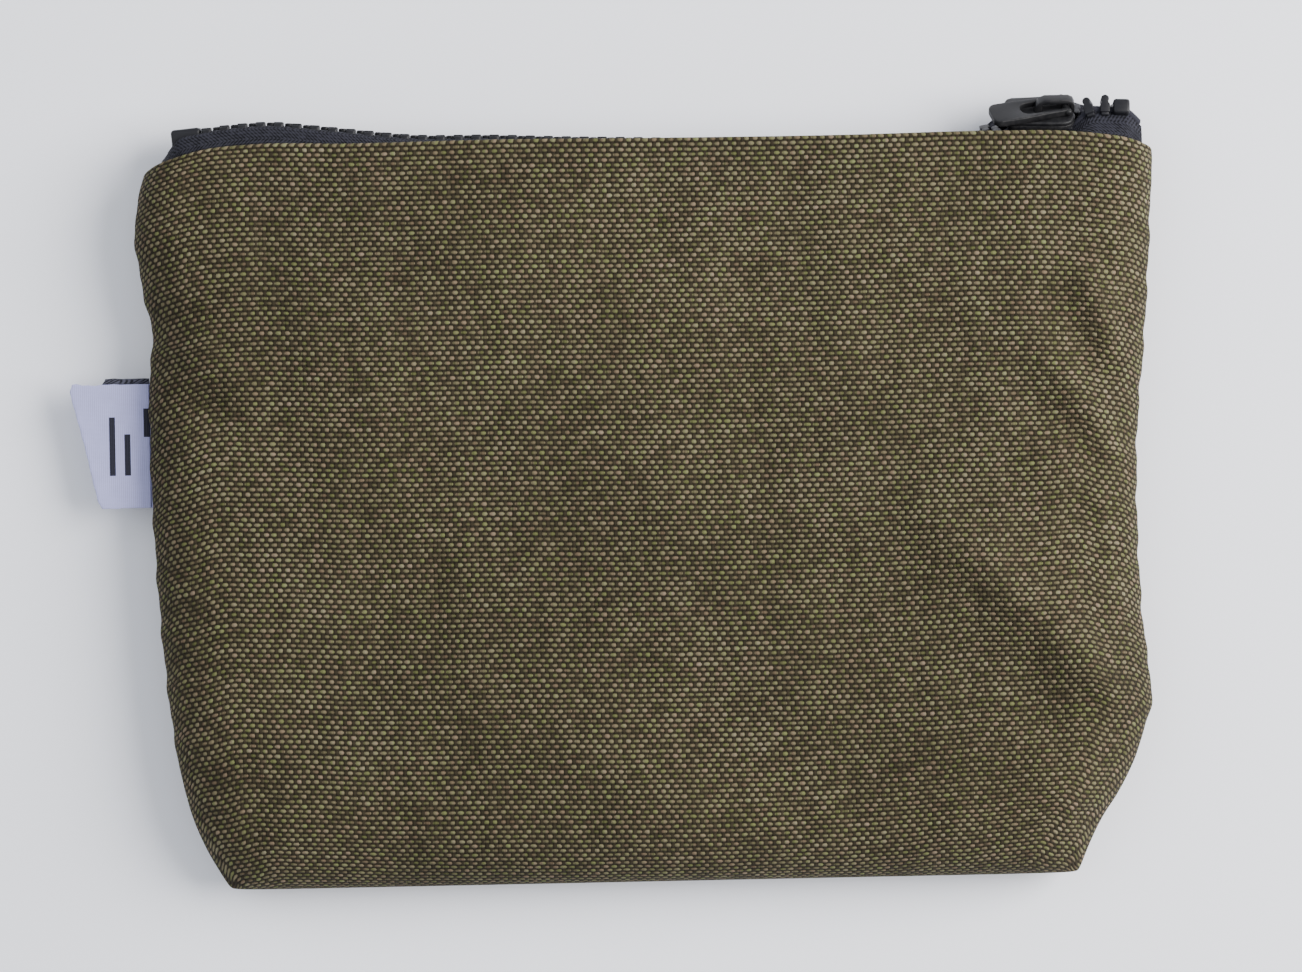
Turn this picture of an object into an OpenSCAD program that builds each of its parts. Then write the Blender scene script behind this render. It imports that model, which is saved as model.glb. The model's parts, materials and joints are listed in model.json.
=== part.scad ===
// Small lined treat pouch with a boxed bottom, a moulded-tooth zip across its mouth and a side label.
// It lies on its back: +X runs along the zip towards the top stops, +Y from the bottom to the zip, +Z up.
// The origin is on the flat back face, midway between the sides and half the panel's height up.

/* [Pouch body] */
// Width of the pouch between its side seams
body_w = 135.5; // [110:0.5:165]
// Height of the front panel from the bottom edge to its folded top edge
body_h = 99.5; // [80:0.5:120]
// How far the boxed bottom corners draw in at each side
corner_in = 11.4; // [6:0.2:14]
// Height over which the bottom corners draw in
corner_h = 24; // [18:0.5:30]
// Thickness of the empty pouch just above its bottom
loft = 13.5; // [12:0.5:17]
// Height of the side and bottom seams above the rest face
seam_z = 5; // [4.4:0.2:6]
// How far in from the side the front panel is still rounding over
side_round = 14; // [9:0.5:18]
// How far up from the bottom the front panel is still rounding over
bottom_round = 12; // [8:0.5:16]
// How far in from its edges the back panel is still rounding over
back_round = 6; // [4.5:0.5:8]

/* [Cloth] */
// Thickness of the outer canvas
canvas_t = 0.6; // [0.4:0.05:0.7]
// Thickness of the fused interlining
interlining_t = 0.5; // [0.3:0.05:0.55]
// Thickness of the lining cotton
lining_t = 0.3; // [0.2:0.05:0.5]
// Clear depth between the canvas and the lining, where the tape and the interlining lie
between_plies = 0.9; // [0.8:0.05:1]
// Height of the gap between the front and back cloths at a seam
seam_gap = 0.3; // [0.28:0.02:0.4]
// How far the interlining stops short of the seams
interlining_inset = 0.35; // [0.2:0.05:1]
// How far the interlining stops short of the zip edge
interlining_lip = 8.5; // [7.8:0.5:15]

/* [Zip] */
// Tilt of the zip's face, up from facing straight away from the bottom
zip_tilt = 40; // [32:1:48]
// Height of the middle of the zip above the rest face
zip_z = 6.1; // [6:0.1:7]
// How far the middle of the zip lies beyond the front panel's folded edge
zip_out = 0.6; // [0.3:0.1:1.2]
// Distance along a tape from one tooth to the next
tooth_pitch = 2.36; // [2.2:0.02:2.9]
// Width of a tooth along the tape
tooth_w = 1.3; // [0.9:0.05:1.5]
// Thickness of the teeth
tooth_t = 1.9; // [1.5:0.1:2]
// Width of the two rows of teeth together
chain_w = 4.4; // [4.2:0.1:4.6]
// Free space between the two rows, which the slider's post passes through
row_gap = 0.8; // [0.7:0.05:1]
// Radius of the cord at the edge of each tape
cord_r = 0.45; // [0.35:0.01:0.5]
// Thickness of the zip tape
tape_t = 0.45; // [0.3:0.05:0.5]
// Length of the tape that is sewn in under the canvas
tape_sewn = 7; // [5:0.5:7.5]
// Distance from the left side seam to the bottom stop
bottom_stop_gap = 5.4; // [3:0.2:10]
// Length of the bottom stop
bottom_stop_l = 4; // [2.5:0.1:5]
// Distance from the right side seam to the top stops
top_stop_gap = 3; // [2.6:0.2:8]
// Length of a top stop
top_stop_l = 2.2; // [1.5:0.1:3]
// Thickness of the stops
stop_t = 2.7; // [2.6:0.1:3]

/* [Slider] */
// Length of the open zip between the closed slider and the top stops
slider_open = 4.9; // [2:0.1:20]
// Length of the slider
slider_l = 9.2; // [8.8:0.1:11]
// Width of the slider where its two mouths open
slider_w = 6.4; // [6.2:0.1:6.6]
// Thickness of each plate of the slider
plate_t = 0.75; // [0.5:0.05:0.9]
// Clearance between the slider and the teeth
slider_fit = 0.25; // [0.15:0.01:0.3]
// Clearance between the slider and the front panel that lies over its side
slider_room = 0.55; // [0.4:0.05:1]
// Depth of the slider's side lips
lip_h = 0.65; // [0.4:0.05:0.7]
// Width of the post that joins the two plates
post_w = 0.4; // [0.3:0.05:0.5]
// Length of the post along the zip
post_l = 2.2; // [1.5:0.1:3]
// Length of the crown that holds the pull
crown_l = 5.3; // [4.8:0.1:5.8]
// Width of the crown
crown_w = 1.5; // [1:0.1:1.8]
// Thickness of the crown's roof and of its front foot
crown_t = 0.65; // [0.5:0.05:0.9]
// Length of the crown's rear foot
crown_foot = 1; // [0.6:0.1:1.4]

/* [Pull] */
// Length of the pull from its pivot to its tip
pull_l = 10.2; // [8.5:0.1:16]
// Width of the pull
pull_w = 4.2; // [3.8:0.1:5]
// Radius of the pull's crossbar
bar_r = 0.45; // [0.4:0.01:0.5]
// Length of the window that the crown stands in
window_l = 6.2; // [5.6:0.1:7]
// Width of the window
window_w = 2.5; // [2.3:0.1:2.9]
// Clearance round the crossbar under the crown
bar_fit = 0.15; // [0.1:0.01:0.2]

/* [Label] */
// Width of the label along the seam
label_w = 16.4; // [10:0.5:25]
// Height of the middle of the label above the bottom edge
label_y = 59.4; // [40:0.2:68]
// How far the upper end of the label stands out from the seam
label_out_upper = 10.1; // [7.5:0.1:14]
// How far the lower end of the label stands out from the seam
label_out_lower = 6.7; // [6:0.1:14]
// Thickness of one leaf of the label
label_leaf = 0.14; // [0.08:0.01:0.2]
// How far the backing tape stands out from the seam
backing_out = 5.6; // [4:0.1:5.8]
// How far the backing tape shows above the label
backing_up = 0.8; // [0:0.1:2]
// Thickness of one leaf of the backing tape
backing_leaf = 0.22; // [0.15:0.01:0.3]
// Space between the seam and the parts of the label that flap
label_clear = 0.45; // [0.4:0.05:0.8]

/* [Seams] */
// Distance from one stitch to the next
stitch_pitch = 2.5; // [1.8:0.1:4]
// Length of thread that one stitch shows
stitch_l = 1.9; // [1.2:0.1:2.4]
// Diameter of the thread
thread_d = 0.24; // [0.16:0.02:0.26]

/* [Hidden] */
$fn = 32;
hair = 0.05;                // space left between cloths that lie on each other
overlap = 0.01;             // how far a cutter runs past the face it opens
edge_power = 2.2;           // roundness of the cloth's edges: 2 is elliptical
corner_power = 1.3;         // bend of the drawn-in bottom corners: 1 is straight
top_round = 5;              // how far in from the side the front panel rounds over at the zip
round_run = 40;             // height below the zip over which that grows to side_round
seam_inset = 1.5;           // how far from the side seams a zip tape ends

// Steps across and up every cloth, so that the facets stay as small on a larger pouch.
cloth_grid = [round(body_w / 4.5), round(body_h / 5.5)];

// Depths below the canvas's outside: the lining, and the tape that lies between them.
lining_at = canvas_t + between_plies;
interlining_at = canvas_t + 3 * hair;
tape_at = lining_at - 0.1 - tape_t;
thread_at = (canvas_t + tape_at) / 2;

// The zip's middle line, and the front panel's folded edge that clears the slider's side beneath it.
edge_y = body_h / 2;
zip_y = edge_y + zip_out;
edge_across = (slider_w / 2 * sin(zip_tilt) - zip_out) / cos(zip_tilt);
edge_z = zip_z + slider_w / 2 * cos(zip_tilt) + edge_across * sin(zip_tilt) + canvas_t + slider_room;
back_lip = zip_out + 1.2;                         // how far the back panel's edge passes the front's
chain_left = -body_w / 2 + bottom_stop_gap + bottom_stop_l;
chain_right = body_w / 2 - top_stop_gap - top_stop_l;
teeth_n = floor((chain_right - chain_left - tooth_w - tooth_pitch / 2) / tooth_pitch) + 1;
cord_y = chain_w / 2 - 0.6;                       // from the zip's middle to each cord
cord_room = 0.05;                                 // space round the cord in a tooth
tape_from = cord_y + cord_r + 0.02;               // where a tape's flat starts beside its cord
tape_bend = slider_w / 2 + 0.15;                  // where it leaves the zip's plane
tape_turn = (tape_bend + 1.8) * sin(zip_tilt) - zip_out;  // where the front tape turns, below the front edge

// The slider: half heights of its channel and of its whole body, and its place along the zip.
channel = tooth_t / 2 + slider_fit;
plate_top = channel + plate_t;
slider_x = chain_right - slider_open - slider_l / 2;
rear_w = chain_w + 2 * slider_fit + 1;
mouth_x = slider_l * 0.15;                        // where the slider is widest
bar_x = slider_l / 2 - crown_t - 0.1 - bar_fit - bar_r;
bar_z = plate_top + bar_fit + bar_r;
crown_top = bar_z + bar_r + bar_fit + crown_t;

// The label hangs on a line just outside the left side seam.
label_x = -body_w / 2 - label_clear;
label_mid = label_y - body_h / 2;

// Height of a rounded edge, from 0 at the edge to 1 at distance r and beyond.
function edge_rise(d, r) =
    d <= 0 ? 0 : d >= r ? 1 : pow(1 - pow(1 - d / r, edge_power), 1 / edge_power);

// Half width of the pouch at height h above its bottom edge.
function half_width(h) =
    body_w / 2 - (h >= corner_h ? 0 : corner_in * pow(1 - max(h, 0) / corner_h, corner_power));

// Highest line of the front panel, from just above the bottom to the zip edge.
function front_crest(h) = edge_z + (loft - edge_z) * (1 - pow(min(h / body_h, 1), 2));

// How far the front panel's side rounds over at height h.
function front_round(h) =
    top_round + (side_round - top_round) * min(max((body_h - h) / round_run, 0), 1);

// Height of the front cloth at depth k below its outside, at x and at h above the bottom edge.
function front_z(x, h, k) =
    let (base = seam_z + seam_gap / 2)
    base + (front_crest(h) - k - base) * edge_rise(h - k, bottom_round)
        * edge_rise(half_width(h) - k - abs(x), front_round(h));

// The same for the back cloth, which lies flat on the rest face inside its rounded rim.
function back_z(x, h, k) =
    let (base = seam_z - seam_gap / 2)
    base - (base - k) * edge_rise(h - k, back_round) * edge_rise(half_width(h) - k - abs(x), back_round);

// Top edges of the two cloths, dropping at the corners.
function front_top(u) = body_h - 2.4 * pow(abs(u), 14);
function back_top(u) = body_h - 2.4 + (back_lip + 2.4) * (1 - pow(abs(u), 10));

// One layer of cloth as rows of points: grid is its steps, k its depth, inset and lip its missing borders.
function cloth_rows(front, grid, k, inset, lip) = [
    for (j = [0:grid[1]]) [
        for (i = [0:grid[0]])
            let (
                u = sin(90 * (2 * i / grid[0] - 1)),
                low = k + inset,
                high = (front ? front_top(u) : back_top(u)) - lip,
                h = low + (high - low) * (1 - cos(90 * j / grid[1])),
                x = u * (half_width(h) - k - inset)
            )
            [x, h - body_h / 2, front ? front_z(x, h, k) : back_z(x, h, k)]
    ]
];

// Closed solid between an upper and a lower sheet of points, in rows that run along +X and +Y.
module sheet_between(upper, lower) {
    rows = len(upper);
    cols = len(upper[0]);
    half = rows * cols;
    points = [for (sheet = [upper, lower]) for (row = sheet) for (p = row) p];
    faces = [
        for (j = [0:rows - 2]) for (i = [0:cols - 2])
            let (a = j * cols + i, b = a + 1, c = b + cols, d = a + cols)
            each [[a, d, c], [a, c, b], [a + half, b + half, c + half], [a + half, c + half, d + half]],
        for (i = [0:cols - 2])
            let (b = i + 1, e = (rows - 1) * cols + i, f = e + 1)
            each [
                [i, b, b + half], [i, b + half, i + half],
                [f, e, e + half], [f, e + half, f + half],
            ],
        for (j = [0:rows - 2])
            let (a = j * cols, d = a + cols, m = a + cols - 1, n = m + cols)
            each [
                [d, a, a + half], [d, a + half, d + half],
                [m, n, n + half], [m, n + half, m + half],
            ],
    ];
    polyhedron(points, faces, convexity = 6);
}

module front_cloth(grid, depth, t, inset, lip)
    sheet_between(cloth_rows(true, grid, depth, inset, lip), cloth_rows(true, grid, depth + t, inset, lip));

module back_cloth(grid, depth, t, inset, lip)
    sheet_between(cloth_rows(false, grid, depth + t, inset, lip), cloth_rows(false, grid, depth, inset, lip));

// Places things in the zip's frame: +X along it, +Y towards the back tape, +Z out of its face.
module on_zip() translate([0, zip_y, zip_z]) rotate([zip_tilt - 90, 0, 0]) children();

// A point of the zip's frame, across and out of its face, as a point of the pouch.
function zip_point(x, across, out) = [
    x,
    zip_y + across * sin(zip_tilt) + out * cos(zip_tilt),
    zip_z - across * cos(zip_tilt) + out * sin(zip_tilt),
];

// Corners of one face of a tape in section: two under the cloth, then the bend and the cord's edge.
function front_tape_face(side) =
    let (
        k = tape_at + (side > 0 ? 0 : tape_t), out = side * tape_t / 2,
        h = body_h - tape_sewn, g = body_h - tape_turn,
        bend = zip_point(0, -tape_bend, out), end = zip_point(0, -tape_from, out)
    )
    [[h - body_h / 2, front_z(0, h, k)], [g - body_h / 2, front_z(0, g, k)], [bend[1], bend[2]], [end[1], end[2]]];

function back_tape_face(side) =
    let (
        k = tape_at + (side > 0 ? tape_t : 0), out = -side * tape_t / 2,
        h = back_top(0) - tape_sewn, g = back_top(0) - 0.3,
        bend = zip_point(0, tape_bend, out), end = zip_point(0, tape_from, out)
    )
    [[h - body_h / 2, back_z(0, h, k)], [g - body_h / 2, back_z(0, g, k)], [bend[1], bend[2]], [end[1], end[2]]];

// The strip beside the teeth runs from seam to seam, and the sewn part stops short of the rounded corners.
module zip_tape(front) {
    upper = front ? front_tape_face(1) : back_tape_face(1);
    lower = front ? front_tape_face(-1) : back_tape_face(-1);
    sewn = body_w - 2 * (lining_at + max(top_round, back_round));
    rotate([90, 0, 90]) {
        linear_extrude(sewn, center = true) polygon(concat(upper, [for (i = [3:-1:0]) lower[i]]));
        linear_extrude(body_w - 2 * seam_inset, center = true)
            polygon([upper[2], upper[3], lower[3], lower[2]]);
    }
}

// The hole for the cord and the slot for the tape, through everything moulded on one tape's edge.
module tape_edge_cut(side, length) {
    translate([0, side * cord_y, 0]) rotate([0, 90, 0])
        cylinder(r = cord_r + cord_room, h = length + 2 * overlap, center = true);
    translate([-length / 2 - overlap, side > 0 ? cord_y : -chain_w / 2 - overlap, -tape_t / 2 - cord_room])
        cube([length + 2 * overlap, chain_w / 2 - cord_y + overlap, tape_t + 2 * cord_room]);
}

// One tooth: a foot clamped on the tape's edge and a round head that reaches for the other row.
module tooth(side) {
    head_r = tooth_w * 0.38;
    reach = chain_w / 2 - row_gap / 2;
    foot = reach - head_r;
    difference() {
        union() {
            translate([-tooth_w / 2, side > 0 ? chain_w / 2 - foot : -chain_w / 2, -tooth_t / 2])
                cube([tooth_w, foot, tooth_t]);
            translate([0, side * (row_gap / 2 + head_r), -tooth_t / 2])
                cylinder(r = head_r, h = tooth_t);
        }
        tape_edge_cut(side, tooth_w);
    }
}

module tooth_row(side) {
    first = chain_left + tooth_w / 2 + 0.1 + (side > 0 ? tooth_pitch / 2 : 0);
    on_zip() for (i = [0:teeth_n - 1]) translate([first + i * tooth_pitch, 0, 0]) tooth(side);
}

module top_stop(side) {
    deep = chain_w / 2 - row_gap / 2;
    on_zip() translate([chain_right + top_stop_l / 2, 0, 0]) difference() {
        translate([-top_stop_l / 2, side > 0 ? row_gap / 2 : -chain_w / 2, -stop_t / 2])
            cube([top_stop_l, deep, stop_t]);
        tape_edge_cut(side, top_stop_l);
    }
}

module tape_cord(side) {
    from = chain_left - bottom_stop_l;
    to = chain_right + top_stop_l;
    on_zip() translate([from, side * cord_y, 0]) rotate([0, 90, 0]) cylinder(r = cord_r, h = to - from);
}

// Outline of the slider's plates: narrow over the closed teeth, wide where the two rows part.
module plate_outline() {
    nose = slider_l / 2;
    polygon([
        [-nose, -rear_w / 2], [mouth_x, -slider_w / 2], [nose - 1, -slider_w / 2 + 0.3],
        [nose, -slider_w / 2 + 1.4], [nose - 0.4, 0], [nose, slider_w / 2 - 1.4],
        [nose - 1, slider_w / 2 - 0.3], [mouth_x, slider_w / 2], [-nose, rear_w / 2],
    ]);
}

// The side lips keep the teeth in: the plate's outline less the channel between them.
module lip_outline() {
    nose = slider_l / 2 + overlap;
    rear = chain_w / 2 + slider_fit;
    front = slider_w / 2 - 0.5;
    difference() {
        plate_outline();
        polygon([
            [-nose, -rear], [mouth_x, -front], [nose, -front],
            [nose, front], [mouth_x, front], [-nose, rear],
        ]);
    }
}

module slider_half() {
    translate([0, 0, channel]) linear_extrude(plate_t) plate_outline();
    translate([0, 0, channel - lip_h]) linear_extrude(lip_h + overlap) lip_outline();
}

// A strip of stitches along +X, centred, of about the given length.
module stitches(length) {
    n = max(floor(length / stitch_pitch), 1);
    for (i = [0:n - 1])
        translate([(i - (n - 1) / 2) * stitch_pitch - stitch_l / 2, 0, 0]) rotate([0, 90, 0])
            cylinder(d = thread_d, h = stitch_l, $fn = 16);
}

// The long straight side seam, from above the boxed corner to the zip.
module side_stitches(side, depth) {
    low = corner_h + 1;
    high = body_h - 6;
    translate([side * (body_w / 2 - depth), (low + high) / 2 - body_h / 2, seam_z]) rotate([0, 0, 90])
        stitches(high - low);
}

module bottom_stitches(depth)
    translate([0, depth - body_h / 2, seam_z]) stitches(2 * (half_width(depth) - depth) - 6);

module corner_stitches(side, depth) {
    n = max(floor(corner_h / stitch_pitch) - 1, 1);
    for (i = [0:n - 1]) {
        h = 2.5 + (i + 0.5) * (corner_h - 3.5) / n;
        lean = atan2(half_width(h + 1) - half_width(h - 1), 2);
        translate([side * (half_width(h) - depth / cos(lean)), h - body_h / 2, seam_z])
            rotate([0, 0, side > 0 ? 90 - lean : 90 + lean])
            translate([-stitch_l / 2, 0, 0]) rotate([0, 90, 0])
                cylinder(d = thread_d, h = min(stitch_l, (corner_h - 3.5) / n - 0.3), $fn = 16);
    }
}

module zip_stitches(front) {
    h = front ? body_h - tape_turn - 0.6 : body_h + back_lip - 2.6;
    z = front ? front_z(0, h, thread_at) : back_z(0, h, thread_at);
    translate([0, h - body_h / 2, z]) stitches(body_w - 2 * max(top_round, back_round) - 6);
}

// A strip folded back on itself: a closed outline with a slot from the seam to just short of the fold.
module folded_leaf(outline, leaf, slot_t) {
    difference() {
        linear_extrude(2 * leaf + slot_t) polygon(outline);
        translate([0, 0, leaf]) linear_extrude(slot_t)
            polygon([for (p = outline) [p[0] < label_x - 1 ? p[0] + 0.5 : p[0] + 1, p[1] * 1.2]]);
    }
}

module front_panel() color([0.41, 0.38, 0.25]) front_cloth(cloth_grid, 0, canvas_t, 0, 0);

module back_panel() color([0.38, 0.35, 0.23]) back_cloth(cloth_grid, 0, canvas_t, 0, 0);

module front_interlining() color("white")
    front_cloth(cloth_grid, interlining_at, interlining_t, interlining_inset, interlining_lip);

module back_interlining() color("white")
    back_cloth(cloth_grid, interlining_at, interlining_t, interlining_inset, interlining_lip);

module front_lining() color("tan") front_cloth(cloth_grid, lining_at, lining_t, 0, tape_turn + 0.5);

module back_lining() color("tan") back_cloth(cloth_grid, lining_at, lining_t, 0, 1.3);

module front_zip_tape() color([0.15, 0.16, 0.2]) zip_tape(true);

module back_zip_tape() color([0.15, 0.16, 0.2]) zip_tape(false);

module front_tape_cord() color([0.13, 0.14, 0.18]) tape_cord(-1);

module back_tape_cord() color([0.13, 0.14, 0.18]) tape_cord(1);

module front_teeth() color([0.07, 0.07, 0.08]) tooth_row(-1);

module back_teeth() color([0.07, 0.07, 0.08]) tooth_row(1);

module front_top_stop() color([0.07, 0.07, 0.08]) top_stop(-1);

module back_top_stop() color([0.07, 0.07, 0.08]) top_stop(1);

module bottom_stop() color([0.07, 0.07, 0.08])
    on_zip() translate([chain_left - bottom_stop_l / 2, 0, 0]) difference() {
        cube([bottom_stop_l, chain_w, stop_t], center = true);
        for (side = [-1, 1]) tape_edge_cut(side, bottom_stop_l);
    }

module slider_body() color([0.22, 0.21, 0.2])
    on_zip() translate([slider_x, 0, 0]) {
        slider_half();
        mirror([0, 0, 1]) slider_half();
        translate([slider_l / 2 - post_l - 0.6, -post_w / 2, -channel - overlap])
            cube([post_l, post_w, 2 * (channel + overlap)]);
    }

module slider_crown() color([0.2, 0.19, 0.18])
    on_zip() translate([slider_x + slider_l / 2 - 0.1 - crown_l, -crown_w / 2, 0]) difference() {
        translate([0, 0, plate_top]) cube([crown_l, crown_w, crown_top - plate_top]);
        translate([crown_foot, -overlap, plate_top - overlap])
            cube([
                crown_l - crown_foot - crown_t, crown_w + 2 * overlap,
                crown_top - crown_t - plate_top + overlap,
            ]);
    }

module pull_tab() color([0.12, 0.12, 0.13])
    on_zip() translate([slider_x + bar_x, 0, bar_z]) {
        translate([0, 0, -bar_r]) linear_extrude(2 * bar_r) difference() {
            union() {
                translate([-pull_l + pull_w / 2, -pull_w / 2]) square([pull_l - pull_w / 2, pull_w]);
                translate([-pull_l + pull_w / 2, 0]) circle(d = pull_w);
            }
            translate([-window_l, -window_w / 2]) square([window_l + overlap, window_w]);
        }
        rotate([90, 0, 0]) cylinder(r = bar_r, h = pull_w, center = true);
    }

module side_label() color([0.85, 0.85, 0.93])
    translate([0, label_mid, seam_z]) folded_leaf([
        [label_x, -label_w / 2], [label_x, label_w / 2],
        [label_x - label_out_upper, label_w / 2], [label_x - label_out_lower, -label_w / 2],
    ], label_leaf, 0.1);

module label_backing() color([0.14, 0.15, 0.19])
    translate([0, label_mid + backing_up, seam_z - hair - 2 * backing_leaf - 0.1]) folded_leaf([
        [label_x, -label_w / 2 + backing_up], [label_x, label_w / 2],
        [label_x - backing_out, label_w / 2], [label_x - backing_out + 0.6, -label_w / 2 + backing_up],
    ], backing_leaf, 0.1);

module label_ends() color([0.8, 0.8, 0.88])
    translate([-body_w / 2, label_mid - label_w / 2, seam_z - seam_gap / 2 + 0.02])
        cube([canvas_t + 0.2, label_w, seam_gap - 0.04]);

module front_zip_thread() color([0.1, 0.1, 0.1]) zip_stitches(true);

module back_zip_thread() color([0.1, 0.1, 0.1]) zip_stitches(false);

module left_side_thread() color([0.2, 0.19, 0.14]) side_stitches(-1, canvas_t + 0.38);

module right_side_thread() color([0.2, 0.19, 0.14]) side_stitches(1, canvas_t + 0.38);

module bottom_thread() color([0.2, 0.19, 0.14]) bottom_stitches(canvas_t + 0.38);

module left_corner_thread() color([0.2, 0.19, 0.14]) corner_stitches(-1, canvas_t + 0.38);

module right_corner_thread() color([0.2, 0.19, 0.14]) corner_stitches(1, canvas_t + 0.38);

module lining_thread() color("tan") {
    for (side = [-1, 1]) side_stitches(side, lining_at - 0.16);
    bottom_stitches(lining_at - 0.16);
}

front_panel();
back_panel();
front_interlining();
back_interlining();
front_lining();
back_lining();
front_zip_tape();
back_zip_tape();
front_tape_cord();
back_tape_cord();
front_teeth();
back_teeth();
front_top_stop();
back_top_stop();
bottom_stop();
slider_body();
slider_crown();
pull_tab();
side_label();
label_backing();
label_ends();
front_zip_thread();
back_zip_thread();
left_side_thread();
right_side_thread();
bottom_thread();
left_corner_thread();
right_corner_thread();
lining_thread();
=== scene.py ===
"""A small lined canvas pouch on its back: cloth, zip, slider and label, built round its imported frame."""

import json
import math

import bmesh
import bpy
import numpy as np
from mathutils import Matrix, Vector


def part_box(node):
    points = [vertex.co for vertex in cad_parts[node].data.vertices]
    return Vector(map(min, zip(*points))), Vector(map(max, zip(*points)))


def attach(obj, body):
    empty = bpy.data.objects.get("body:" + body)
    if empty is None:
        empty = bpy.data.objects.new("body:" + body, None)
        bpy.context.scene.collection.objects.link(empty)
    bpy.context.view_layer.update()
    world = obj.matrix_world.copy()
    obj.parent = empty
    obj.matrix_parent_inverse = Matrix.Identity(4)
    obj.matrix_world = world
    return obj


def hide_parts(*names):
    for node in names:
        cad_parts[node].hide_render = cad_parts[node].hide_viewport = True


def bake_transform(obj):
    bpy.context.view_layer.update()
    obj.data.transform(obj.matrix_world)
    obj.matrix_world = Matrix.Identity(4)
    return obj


bl_info = {
    "name": "Canvas Treat Pouch",
    "version": (1, 0, 0),
    "blender": (4, 5, 0),
    "location": "3D View > Sidebar > Pouch",
    "description": "Builds a lined canvas pouch with a moulded-tooth zip round its packed frame",
    "category": "Add Mesh",
}

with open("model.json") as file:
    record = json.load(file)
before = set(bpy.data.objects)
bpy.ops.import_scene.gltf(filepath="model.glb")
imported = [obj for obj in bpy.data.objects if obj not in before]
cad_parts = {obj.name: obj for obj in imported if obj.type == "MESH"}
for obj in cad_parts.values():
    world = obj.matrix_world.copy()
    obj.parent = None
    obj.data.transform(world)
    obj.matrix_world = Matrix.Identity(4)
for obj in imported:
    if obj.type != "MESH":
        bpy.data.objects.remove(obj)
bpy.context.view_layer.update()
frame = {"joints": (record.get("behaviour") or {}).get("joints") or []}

MM = 0.001  # sizes below are in millimetres unless their name ends in _m


def box_mm(node):
    """Lowest and highest corner of a frame node, in millimetres."""
    low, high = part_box(node)
    return np.array(low) / MM, np.array(high) / MM


# The body, read from the frame.
PANEL_LOW, PANEL_HIGH = box_mm("front_panel")
BOTTOM_Y = PANEL_LOW[1]
EDGE_Y = PANEL_HIGH[1]
SEAM_Z = (PANEL_LOW[2] + box_mm("back_panel")[1][2]) / 2
LOFT = 13.5  # the front panel's crest, and below its height at the folded edge
EDGE_Z = 11.0

# The zip's own directions: along the pouch, across from the front tape to the back one, and out of its face.
HINGE = {joint["name"]: joint for joint in frame["joints"]}["pull_hinge"]
ACROSS = np.array(HINGE["axis"])
OUT = np.cross([1, 0, 0], ACROSS)
CORD_BOXES = [box_mm(node) for node in ("front_tape_cord", "back_tape_cord")]
ZIP_Y, ZIP_Z = (sum(low + high for low, high in CORD_BOXES) / 4)[1:]
CHAIN_LEFT = box_mm("bottom_stop")[1][0]
CHAIN_RIGHT = box_mm("front_top_stop")[0][0]
STOP_LEFT = box_mm("bottom_stop")[0][0]
STOP_RIGHT = box_mm("front_top_stop")[1][0]
SLIDER_LEFT, SLIDER_RIGHT = (corner[0] for corner in box_mm("slider_body"))
SLIDER_X = (SLIDER_LEFT + SLIDER_RIGHT) / 2
TILT = math.degrees(math.atan2(OUT[2], OUT[1]))

# Cloth layers, as depths below the canvas's outside.
CANVAS_T, INTERLINING_T, LINING_T = 0.6, 0.5, 0.3
LINING_AT = 1.5
TAPE_T = 0.45
TAPE_AT = 0.95
EDGE_POWER = 2.2
BOTTOM_ROUND, SIDE_ROUND, TOP_ROUND, BACK_ROUND = 12.0, 14.0, 6.0, 7.0


class PouchSizes(bpy.types.PropertyGroup):
    """Sizes of the made parts that the frame leaves open."""

    warp_pitch: bpy.props.FloatProperty(
        name="Warp pitch", description="Distance between the canvas's upright threads",
        default=0.556 * MM, unit="LENGTH", precision=6)
    weft_pitch: bpy.props.FloatProperty(
        name="Weft pitch", description="Distance between the canvas's level threads",
        default=0.667 * MM, unit="LENGTH", precision=6)
    fold_depth: bpy.props.FloatProperty(
        name="Fold depth", description="Strength of the soft folds in the front panel",
        default=1.2, min=0, max=2)
    tooth_pitch: bpy.props.FloatProperty(
        name="Tooth pitch", description="Distance from tooth to tooth along one tape",
        default=2.382 * MM, unit="LENGTH", precision=6)
    camera_height: bpy.props.FloatProperty(
        name="Camera height", description="Height of the camera above the table", default=0.6, unit="LENGTH")
    view_width: bpy.props.FloatProperty(
        name="View width", description="Width that the camera sees at the cloth",
        default=0.1736, unit="LENGTH")


class PouchColours(bpy.types.PropertyGroup):
    """Colours of the cloth, zip and label."""

    weft_light: bpy.props.FloatVectorProperty(
        name="Light weft", description="Palest level thread", subtype="COLOR", default=(0.149, 0.131, 0.072))
    weft_dark: bpy.props.FloatVectorProperty(
        name="Dark weft", description="Deepest level thread", subtype="COLOR", default=(0.085, 0.073, 0.038))
    warp: bpy.props.FloatVectorProperty(
        name="Warp", description="Upright threads", subtype="COLOR", default=(0.0295, 0.0235, 0.0135))
    tape: bpy.props.FloatVectorProperty(
        name="Zip tape", description="Woven zip tape", subtype="COLOR", default=(0.0092, 0.0092, 0.0125))
    plastic: bpy.props.FloatVectorProperty(
        name="Zip plastic", description="Moulded teeth and stops", subtype="COLOR",
        default=(0.007, 0.007, 0.009))
    metal: bpy.props.FloatVectorProperty(
        name="Slider", description="Enamelled slider", subtype="COLOR", default=(0.006, 0.006, 0.0072))
    label: bpy.props.FloatVectorProperty(
        name="Label", description="Satin label", subtype="COLOR", default=(0.41, 0.415, 0.69))
    lining: bpy.props.FloatVectorProperty(
        name="Lining", description="Lining cotton", subtype="COLOR", default=(0.5, 0.43, 0.3))
    table: bpy.props.FloatVectorProperty(
        name="Table", description="Plain table top", subtype="COLOR", default=(0.93, 0.94, 1.0))


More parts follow.
